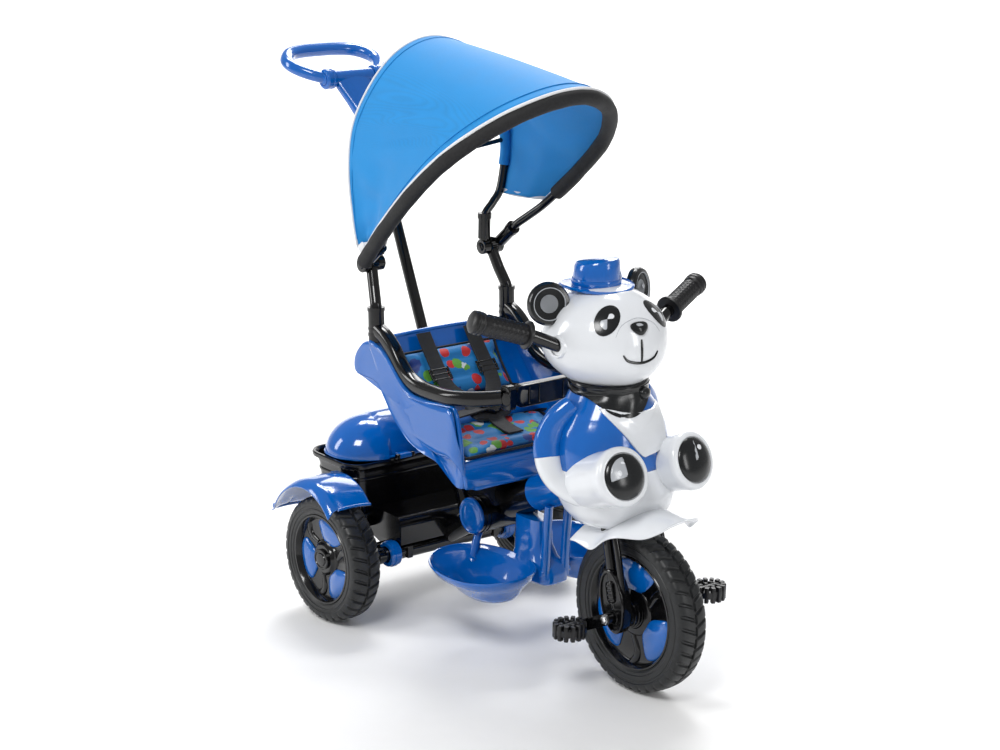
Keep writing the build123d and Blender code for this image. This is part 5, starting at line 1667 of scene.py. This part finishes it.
# ---------------------------------------------------------------- panda figure
@dataclass
class Panda:
    """The hollow panda that rides on the fork and turns with it."""

    head: tuple[float, float] = (411.0, 533.0)
    facing: float = -5.0
    hat_base: float = 604.0

    def head_radius(self, way: Vector) -> float:
        """How far the head's skin is from its middle in a direction, in millimetres.

        Args:
            way: the direction, of length 1.

        Returns:
            The distance: an egg with full cheeks and a muzzle.
        """
        low = -way.z
        cheek = 1 + 0.05 * exp(-((low - 0.28) / 0.3) ** 2) * (1 - abs(way.x) ** 4)
        base = 1 / sqrt((way.x / 95) ** 2 + (way.y / (95 * cheek)) ** 2 + (way.z / 78) ** 2)
        near, half = Vector((46, 0, -20)), Vector((46, 56, 42))
        a = sum((way[i] / half[i]) ** 2 for i in range(3))
        b = -2 * sum(way[i] * near[i] / half[i] ** 2 for i in range(3))
        c = sum((near[i] / half[i]) ** 2 for i in range(3)) - 1
        gap = b * b - 4 * a * c
        muzzle = (-b + sqrt(gap)) / (2 * a) if gap > 0 else 0.0
        soft = 6.0
        return base + (soft * log1p(exp((muzzle - base) / soft)) if muzzle > 0 else 0.0)

    def on_head(self, turn: float, rise: float, a: float = 0.0, b: float = 0.0, lift: float = 0.0) -> Vector:
        """A point on the head's skin.

        Args:
            turn: the direction's turn to the left of straight ahead, in degrees.
            rise: its rise above the level, in degrees.
            a: a step to the left across the skin, in millimetres.
            b: a step up the skin, in millimetres.
            lift: the height above the skin, in millimetres.

        Returns:
            The point in metres.
        """
        turn, rise = radians(turn), radians(rise)
        out = Vector((cos(rise) * cos(turn), cos(rise) * sin(turn), sin(rise)))
        left = Vector((-sin(turn), cos(turn), 0))
        up = out.cross(left)
        reach = self.head_radius(out)
        way = (out * reach + left * a + up * b).normalized()
        return at(self.head[0], 0, self.head[1]) + way * (self.head_radius(way) + lift) * MM

    def head_skin(self) -> Shape:
        """The head."""
        rings = []
        for i in range(1, 48):
            rise = -pi / 2 + pi * i / 48
            ring = []
            for k in range(96):
                turn = tau * k / 96
                way = Vector((cos(rise) * cos(turn), cos(rise) * sin(turn), sin(rise)))
                ring.append(at(self.head[0], 0, self.head[1]) + way * self.head_radius(way) * MM)
            rings.append(ring)
        return skin(rings)

    def bar_bosses(self) -> Shape:
        """The raised rings where the handlebar leaves the head."""
        made = Shape()
        for side in Side:
            foot = at(416, side.value * 84, 530)
            made.add(boss(foot, Vector((1, 0, 0)), Vector((0, side.value, 0)), oval(17, 17, 40),
                          [(1.15, 0), (1.0, 8), (1, 14), (0.93, 16), (0.8, 16), (0.76, 14), (0.5, 14)]))
        return made

    def patch(self, turn: float, rise: float, outline: Flat, lift: float = 0.7, dome: float = 0.3,
              rounds: int = 8) -> Shape:
        """A painted patch laid over the head's skin as a thin shell.

        Args:
            turn: the turn of its middle, in degrees.
            rise: the rise of its middle, in degrees.
            outline: its outline across the skin, in millimetres.
            lift: how proud its middle stands.
            dome: the extra height in its middle.
            rounds: how many rings fill it.

        Returns:
            The patch.
        """
        rings = [[self.on_head(turn, rise, a, b, -0.6) for a, b in outline]]
        for i in range(rounds + 1):
            share = 1 - i / (rounds + 0.4)
            rings.append([self.on_head(turn, rise, a * share, b * share, lift + dome * (1 - share ** 2))
                          for a, b in outline])
        return skin(rings)

    @staticmethod
    def slanted(half_a: float, half_b: float, lean: float, power: float = 2.0, at_a: float = 0.0,
                at_b: float = 0.0) -> Flat:
        """An oval outline turned by a lean in degrees and moved."""
        c, s = cos(radians(lean)), sin(radians(lean))
        return [(at_a + a * c - b * s, at_b + a * s + b * c) for a, b in oval(half_a, half_b, 40, power)]

    def eye(self, side: Side) -> None:
        """One eye patch with its painted grey reflection and white glint."""
        turn = self.facing + side.value * 35
        lean = side.value * 24
        make(f"eye_patch_{side.word}", self.patch(turn, 29, self.slanted(18, 27, lean)), PAINT.scarf,
             "steering")
        make(f"eye_glint_{side.word}",
             self.patch(turn, 29, self.slanted(4.2, 4.2, 0, at_a=-side.value * 6, at_b=5),
                                               1.25, 0.3, 4), PAINT.white, "steering")
        # painted reflection: the grey oval low on the glossy black patch stands for light reflected there
        make(f"eye_sector_{side.word}", self.patch(turn, 29, self.slanted(7.5, 4.0, 62 * side.value, 2,
                                                                       side.value * 5, -9), 1.05, 0.2, 4),
             PAINT.grey, "steering")

    def line(self, points: Flat, radius: float) -> Shape:
        """A fine raised line over the head, through points of turn and rise in degrees."""
        smooth = flat_curve([(self.facing + a, b) for a, b in points], 6, False)
        path = [self.on_head(a, b, lift=0.1) for a, b in smooth]
        return sweep(path, oval(radius, radius, 10),
                     swell=lambda t: 0.5 + 0.6 * sin(pi * min(1, max(0, t))) ** 0.5)

    def face(self) -> None:
        """The nose, the mouth and a grey line of painted shade along the muzzle's crease."""
        nose = [(-15, 4), (-11, 8.5), (0, 10), (11, 8.5), (15, 4), (12, -3), (5, -9), (0, -10.5), (-5, -9),
                (-12, -3)]
        make("nose", self.patch(self.facing - 2, 19, flat_curve(nose, 4), 2.2, 3.4), PAINT.scarf, "steering")
        make("nose_glint",
             self.patch(self.facing - 2, 19, self.slanted(5.5, 2.2, -12, at_a=-1, at_b=4.6), 5.0, 0.4, 4),
             PAINT.grey, "steering")
        mouth = self.line([(-2, 9), (-2.2, 0), (-2, -12)], 1.8)
        mouth.add(self.line([(-20, -4), (-15, -9.5), (-2, -12), (11, -9.5), (17, -4)], 2.0))
        make("mouth", mouth, PAINT.scarf, "steering")
        # painted shade: a thin grey line where the muzzle meets the face
        make("muzzle_crease_painted_shade", self.line([(-27, 12), (-20, 23), (-2, 29), (16, 23), (24, 12)], 0.45),
             PAINT.grey, "steering")

    def ears(self) -> None:
        """The two round ears, with painted highlights: a grey ring round each rim and a grey dot in each cup."""
        body, ring, dot = Shape(), Shape(), Shape()
        for side in Side:
            out = Vector((1, side.value * 0.45, 0.15)).normalized()
            foot = at(385, side.value * 90, 588) - out * 7 * MM
            across = Vector((0, 1, 0))
            body.add(boss(foot, across, out, oval(33, 33, 56),
                          [(0.8, -4), (0.95, -1), (1, 4), (0.98, 9), (0.9, 13), (0.76, 14), (0.7, 11),
                           (0.3, 9.6),
                           (0.04, 9.4)]))
            ring.add(boss(foot, across, out, oval(25.4, 25.4, 48),
                          [(1, 10), (1, 13.6), (0.93, 13.8), (0.92, 10)]))
            dot.add(boss(foot + (Vector((0, 0.6, 0.3)) * 8 + out * 9.8) * MM, across, out, oval(3.4, 4.2, 24),
                         [(1, 0), (0.9, 1.2), (0.1, 1.6)]))
        make("round_ears", body, PAINT.scarf, "steering", "panda_ears")
        # painted highlights: the grey ring and the grey dot stand for light on the glossy black ears
        make("ear_rim_highlights", ring, PAINT.grey, "steering")
        make("ear_dots", dot, PAINT.grey, "steering")

    def hat(self) -> Shape:
        """The small hat: a curled brim, a band and a slanted crown with a dent."""
        rings = []
        rows = [(20, -6, 0), (52, -2, 0), (57.5, 0.5, 0), (58, 3, 0), (55, 4.5, 0), (44, 2.5, 0),
                (37.5, 3.5, 0),
                (36.5, 8, 0), (36.8, 16, 0), (35.6, 30, 1), (34.4, 38, 1), (32.5, 41, 1), (29, 42.4, 1),
                (15, 43.2, 1),
                (3, 43.4, 1)]
        for r, z, slope in rows:
            ring = []
            for k in range(64):
                a = tau * k / 64
                curl = 3.5 * (abs(sin(a)) ** 3) * smooth_step((r - 38) / 20)
                height = self.hat_base + z + curl + slope * 0.14 * r * cos(a - 0.6)
                ring.append(at(388 + r * cos(a), r * 0.98 * sin(a), height - 0.03 * r))
            rings.append(ring)
        return skin(rings)

    def hat_band(self) -> Shape:
        """The band round the hat's crown and the bump on its left."""
        path = [at(388 + 37.2 * cos(tau * k / 48), 36.6 * sin(tau * k / 48), self.hat_base + 9)
                for k in range(48)]
        made = sweep(path, oval(1.2, 4.6, 12, 3), closed=True)
        made.add(boss(at(392, 33, self.hat_base + 14), Vector((1, 0, 0)), Vector((0.1, 1, 0.25)),
                      oval(11, 13, 28),
                      [(1, 0), (0.98, 3), (0.85, 6), (0.5, 8.4), (0.1, 9)]))
        return made

    def body_row(self, z: float) -> tuple[float, float, float]:
        """The torso's middle station, half length and half width at a height."""
        rows = [(262, 452, 60, 70), (280, 450, 73, 85), (300, 446, 80, 93), (325, 438, 79, 96),
                (345, 432, 77, 96),
                (375, 430, 74, 94), (400, 428, 71, 89), (425, 426, 65, 76), (445, 424, 57, 62),
                (462, 422, 50, 52)]
        for low, high in zip(rows, rows[1:]):
            if z <= high[0]:
                along = (z - low[0]) / (high[0] - low[0])
                t = smooth_step(along) * 0.3 + 0.7 * max(0, along)
                return tuple(low[i] + (high[i] - low[i]) * t for i in (1, 2, 3))
        return rows[-1][1:]

    def body_skin(self, low: float, high: float, rows: int, slot: bool) -> Shape:
        """A stretch of the body between two heights, open behind for the main tube if asked."""
        rings = []
        for i in range(rows + 1):
            z = low + (high - low) * i / rows
            s, a, b = self.body_row(z)
            rings.append([at(s + x, y, z) for x, y in oval(a, b, 72, 2.15)])

        def keep(p: Vector) -> bool:
            """Whether a face lies outside the slot."""
            return not (slot and p.x < at(420, 0, 0).x and abs(p.y) < 0.071 and p.z < 0.341)

        return skin(rings, capped=False, keep=keep)

    def arm(self, side: Side, sleeve: bool) -> Shape:
        """One arm laid round the body: its blue sleeve or its white forearm."""
        line = [(421, 66, 436), (412, 84, 418), (406, 95, 395), (406, 100, 372), (412, 101, 350),
                (424, 97, 330),
                (444, 88, 314), (466, 76, 304)]
        path = curve_through([at(s, side.value * y, z) for s, y, z in line], 6)
        cut = 21
        thick = (lambda t: 0.5 + 0.5 * sin(pi * (0.12 + 0.85 * t)) ** 0.6)
        part = path[:cut + 1] if sleeve else path[cut:]
        share = (lambda t: thick(t * cut / 42)) if sleeve else (lambda t: thick((cut + t * (42 - cut)) / 42) * 0.97)
        made = sweep(part, oval(26, 19, 28), Vector((1, 0, 0)), swell=share)
        return made

    def cuffs(self) -> Shape:
        """The raised cuffs where the sleeves end."""
        made = Shape()
        for side in Side:
            path = [at(407, side.value * 100.5, 376), at(409.5, side.value * 101.5, 366),
                    at(411, side.value * 101.4, 358)]
            made.add(sweep(path, oval(28, 21, 32), Vector((1, 0, 0))))
        return made

    def on_chest(self, y: float, z: float, lift: float) -> Vector:
        """A point on the chest's front at a side and a height."""
        s, a, b = self.body_row(z)
        reach = a * (max(0.0, 1 - abs(y / b) ** 2.15)) ** (1 / 2.15)
        return at(s + reach + lift, y, z)

    def bib(self) -> Shape:
        """The white bib on the chest, a shield with a raised edge."""
        outline = flat_curve([(-54, 439), (-20, 434), (30, 431), (62, 434), (58, 405), (50, 376), (10, 368),
                              (-6, 370),
                              (-30, 400)], 5)
        middle = (2.0, 408.0)
        rings = []
        for share, lift in ((1.0, -1.5), (1.0, 4.4), (0.97, 5.4), (0.92, 4.6), (0.6, 4.6), (0.3, 4.6),
                            (0.05, 4.6)):
            rings.append([self.on_chest(middle[0] + (y - middle[0]) * share,
                                        middle[1] + (z - middle[1]) * share, lift)
                          for y, z in outline])
        return skin(rings)

    def boot(self, side: Side) -> Shape:
        """One leg with its round boot, pointing forward and up."""
        start, end = at(430, side.value * 58, 316), at(542, side.value * 70, 358)
        way = (end - start).normalized()
        first = Vector((0, 1, 0))
        second = way.cross(first).normalized()
        first = second.cross(way)
        length = (end - start).length / MM
        rings = []
        for a, r in ((-6, 36), (10, 41), (40, 43), (70, 42), (length - 26, 43), (length - 12, 45),
                     (length - 5, 44.6),
                     (length - 1.5, 42.5), (length, 39.5), (length + 0.4, 36), (length - 1.6, 34.6),
                     (length - 2, 10)):
            rings.append([start + (way * a + first * (r * cos(tau * k / 64)) + second * (r * sin(tau * k / 64))) * MM
                          for k in range(64)])
        return skin(rings)

    def boot_disc(self, side: Side, kind: str) -> Shape:
        """What lies on a boot's front: the black disc, its painted grey reflection or its painted white highlights.
        """
        start, end = at(430, side.value * 58, 316), at(542, side.value * 70, 358)
        way = (end - start).normalized()
        across = Vector((0, 1, 0))
        foot = end - way * 2 * MM
        if kind == "disc":
            return boss(foot, across, way, oval(34, 34, 56),
                        [(1, 0), (1, 2.5), (0.97, 4), (0.85, 6.4), (0.6, 9),
                                                            (0.3, 10.6), (0.05, 11)])
        up = way.cross(across)
        # painted reflection: a grey quarter sheet over the upper part of the glossy black disc
        if kind == "sector":
            rows = [[foot + (across * r * cos(radians(g)) + up * r * sin(radians(g)) + way * (11.2 - 5.6 * (r / 30) ** 2)) * MM
                     for g in range(88, 187, 7)] for r in (2, 8, 14, 20, 25, 29)]
            return skin(rows, ring_closed=False)
        # painted highlights: small white dots on the glossy black disc
        made = Shape()
        for a, b, half_a, half_b, height in ((-4, 17, 5.6, 5.6, 8.0), (8, 17, 4.6, 4.6, 7.8),
                                             (-13, 6, 4.8, 4.8, 9.4)):
            place = foot + (across * a + up * b) * MM
            made.add(boss(place, across, way, oval(half_a, half_b, 28), [(1, height - 3), (1, height + 0.5),
                                                                      (0.7, height + 1.1), (0.1, height + 1.3)]))
        return made

    def skirt(self) -> Shape:
        """The wavy visor under the body, which spreads over the front wheel."""
        middle_line = [(436, 262), (470, 272), (510, 283), (550, 290), (588, 293), (614, 298)]
        edge_line = [(424, 226), (466, 222), (496, 246), (532, 254), (566, 268), (600, 284)]
        rows = []
        middle_line, edge_line = flat_curve(middle_line, 6, False), flat_curve(edge_line, 6, False)
        count = len(middle_line)
        for i in range(count):
            t = i / (count - 1)
            half = 71 * (1 - 0.62 * smooth_step((t - 0.45) / 0.6))
            row = []
            for k in range(-14, 15):
                u = k / 14
                share = abs(u) ** 2.2
                s = middle_line[i][0] + (edge_line[i][0] - middle_line[i][0]) * share
                z = middle_line[i][1] + (edge_line[i][1] - middle_line[i][1]) * share
                z += 5 * sin(4.4 * pi * t) * share
                row.append(at(s, half * u, z))
            rows.append(row)
        return skin(rows, ring_closed=False)

    def scarf(self) -> Shape:
        """The neckerchief: a rolled collar with folds, a knot and a hanging corner."""
        rings = []
        for depth in range(9):
            t = depth / 8
            ring = []
            for k in range(96):
                a = tau * k / 96
                point = exp(-((a if a < pi else a - tau) + 0.25) ** 2 / 0.5)
                z = 470 - t * (14 + 30 * point) - 3 * (1 - t)
                s, half_a, half_b = self.body_row(min(460, z))
                fold = 1.6 * sin(9 * a + 3 * t) * sin(pi * t) + 5 * (1 - t) ** 2
                ring.append(at(s + (half_a + 5 + fold) * cos(a), (half_b + 5 + fold) * sin(a), z))
            rings.append(ring)
        made = skin(rings, capped=False)
        for z, phase in ((466, 0.0), (459, 1.7)):
            path = [at(422 + 53 * cos(tau * k / 56), 55 * sin(tau * k / 56),
                       z + 3 * sin(2 * tau * k / 56 + phase))
                    for k in range(56)]
            made.add(sweep(path, oval(7, 6, 16), closed=True))
        made.add(boss(at(474, 20, 455), Vector((0, 1, 0)), Vector((0.9, 0.3, 0)), oval(12, 9, 32, 2.4),
                      [(0.9, -4), (1, 3), (0.95, 8), (0.75, 11), (0.3, 13), (0.05, 13.4)]))
        return made

    def build(self) -> None:
        """Make and dress the panda."""
        make("head_shell", self.head_skin(), PAINT.white, "steering", "panda_head", shading=Shading.SMOOTH)
        make("bar_bosses", self.bar_bosses(), PAINT.white, "steering")
        for side in Side:
            self.eye(side)
        self.face()
        self.ears()
        make("small_hat", self.hat(), PAINT.blue, "steering", "panda_hat")
        make("small_hat_band", self.hat_band(), PAINT.blue, "steering")
        make("neckerchief", self.scarf(), PAINT.scarf, "steering", "panda_scarf", shading=Shading.SMOOTH)
        make("jacket", self.body_skin(342, 458, 16, False), PAINT.blue, "steering", "panda_torso", wall=2.5)
        make("belly", self.body_skin(262, 344, 16, True), PAINT.white, "steering", wall=2.5)
        belly_cap = [at(452 + 60 * a, 70 * b, 262) for a, b in oval(1, 1, 72, 2.15)]
        make("belly_floor",
             skin([belly_cap, [at(452 + 56 * a, 66 * b, 259) for a, b in oval(1, 1, 72, 2.15)]]),
             PAINT.white, "steering")
        make("jacket_sleeves", self.arm(Side.RIGHT, True).add(self.arm(Side.LEFT, True)), PAINT.blue,
             "steering")
        make("forearms", self.arm(Side.RIGHT, False).add(self.arm(Side.LEFT, False)), PAINT.white, "steering",
             "panda_arms")
        make("chest_bib", self.bib(), PAINT.white, "steering")
        boots = Shape()
        for side in Side:
            boots.add(self.boot(side))
        make("boots", boots, PAINT.white, "steering", "panda_legs")
        # the grey sheet is a painted reflection and the white dots are painted highlights on the black discs
        for kind, finish in (("disc", PAINT.scarf), ("sector", PAINT.grey), ("painted_glints", PAINT.white)):
            made = Shape()
            for side in Side:
                made.add(self.boot_disc(side, kind))
            make(f"boot_{kind}", made, finish, "steering", wall=0.8 if kind == "sector" else 0.0)
        make("wavy_skirt", self.skirt(), PAINT.white, "steering", "panda_skirt", wall=3.0, rounds=1)


# ---------------------------------------------------------------- studio
@dataclass
class Studio:
    """The pale floor, the soft lights and the camera."""

    azimuth: float = radians(50.83)
    elevation: float = radians(15.42)
    roll: float = radians(1.18)
    distance: float = 3.691
    lens: float = 81.8
    target: tuple[float, float, float] = (-0.032, 0.045, 0.395)

    def floor(self) -> None:
        """A pale floor that curves up far behind the tricycle."""
        rows = []
        for y, z in [(-9.0, 0.0), (-4.0, 0.0), (0.0, 0.0), (4.0, 0.0)] + [
                (4.0 + 3.0 * sin(pi / 2 * k / 8), 3.0 * (1 - cos(pi / 2 * k / 8))) for k in range(1, 9)]:
            rows.append([Vector((x, y, z - 0.0004)) for x in (-12.0, -4.0, 4.0, 12.0)])
        shape = skin(rows, ring_closed=False)
        mesh = bpy.data.meshes.new("studio_floor")
        turn = Matrix.Rotation(self.azimuth, 4, "Z")
        mesh.from_pydata([(turn @ v)[:] for v in shape.verts], [], shape.faces)
        mesh.shade_smooth()
        floor = bpy.data.objects.new("studio_floor", mesh)
        bpy.context.scene.collection.objects.link(floor)
        pale = Finish("pale floor", "white_plastic", (0.9, 0.9, 0.9), 0.6, 0.01, 0.02, relief=0.02)
        mesh.materials.append(pale.material())

    def light(self, name: str, place: tuple[float, float, float], size: tuple[float, float], power: float,
              aim: tuple[float, float, float] = (0.05, 0.0, 0.4)) -> None:
        """One soft rectangular light aimed at the tricycle's middle or at the backdrop."""
        lamp = bpy.data.lights.new(name, "AREA")
        lamp.shape, lamp.size, lamp.size_y, lamp.energy = "RECTANGLE", size[0], size[1], power
        holder = bpy.data.objects.new(name, lamp)
        bpy.context.scene.collection.objects.link(holder)
        holder.location = place
        holder.rotation_mode = "QUATERNION"
        holder.rotation_quaternion = (Vector(aim) - Vector(place)).to_track_quat("-Z", "Y")

    def camera(self) -> None:
        """The camera at the picture's own angle."""
        a, e = self.azimuth, self.elevation
        back = Vector((sin(a) * cos(e), -cos(a) * cos(e), sin(e)))
        right = Vector((cos(a), sin(a), 0))
        up = back.cross(right)
        side = right * cos(self.roll) + up * sin(self.roll)
        top = back.cross(side)
        data = bpy.data.cameras.new("camera")
        data.sensor_width, data.lens = 36.0, self.lens
        data.clip_start, data.clip_end = 0.05, 60.0
        camera = bpy.data.objects.new("camera", data)
        bpy.context.scene.collection.objects.link(camera)
        camera.matrix_world = Matrix((side, top, back)).transposed().to_4x4()
        camera.location = Vector(self.target) + back * self.distance
        bpy.context.scene.camera = camera

    def build(self) -> None:
        """Set up the studio."""
        self.camera()
        self.floor()
        world = bpy.data.worlds.new("studio")
        bpy.context.scene.world = world
        world.use_nodes = True
        world.node_tree.nodes["Background"].inputs["Color"].default_value = (1, 1, 1, 1)
        world.node_tree.nodes["Background"].inputs["Strength"].default_value = 0.36
        self.light("key", (1.6, -2.6, 3.4), (1.3, 1.3), 84)
        self.light("fill", (-2.2, -3.0, 1.7), (0.9, 2.0), 44)
        self.light("rim", (-2.4, 2.6, 2.8), (1.5, 1.5), 44)
        self.light("front", (3.4, 0.8, 1.4), (0.5, 1.6), 18)
        self.light("backdrop", (-2.6, 2.1, 6.0), (3.0, 3.0), 560, (-5.2, 4.2, 1.0))
        bpy.context.scene.view_settings.view_transform = "Standard"


def main() -> None:
    """Build every sub-assembly in order."""
    Studio().build()
    Wheel("front", 510, 0, 125, 52, 40, turn=90, has_drums=True).build()
    Wheel("rear_right", 0, -210, 104, 54, 34, outward=-1).build()
    Wheel("rear_left", 0, 210, 104, 54, 34, outward=1).build()
    for assembly in (Drive(), Undercarriage(), Footrest(), RearBox(), Seat(), GuardRing(), Canopy(),
                     ParentHandle(), FrontEnd(), Panda()):
        assembly.build()
        LOG.info("built %s", type(assembly).__name__)


if __name__ == "__main__":
    main()
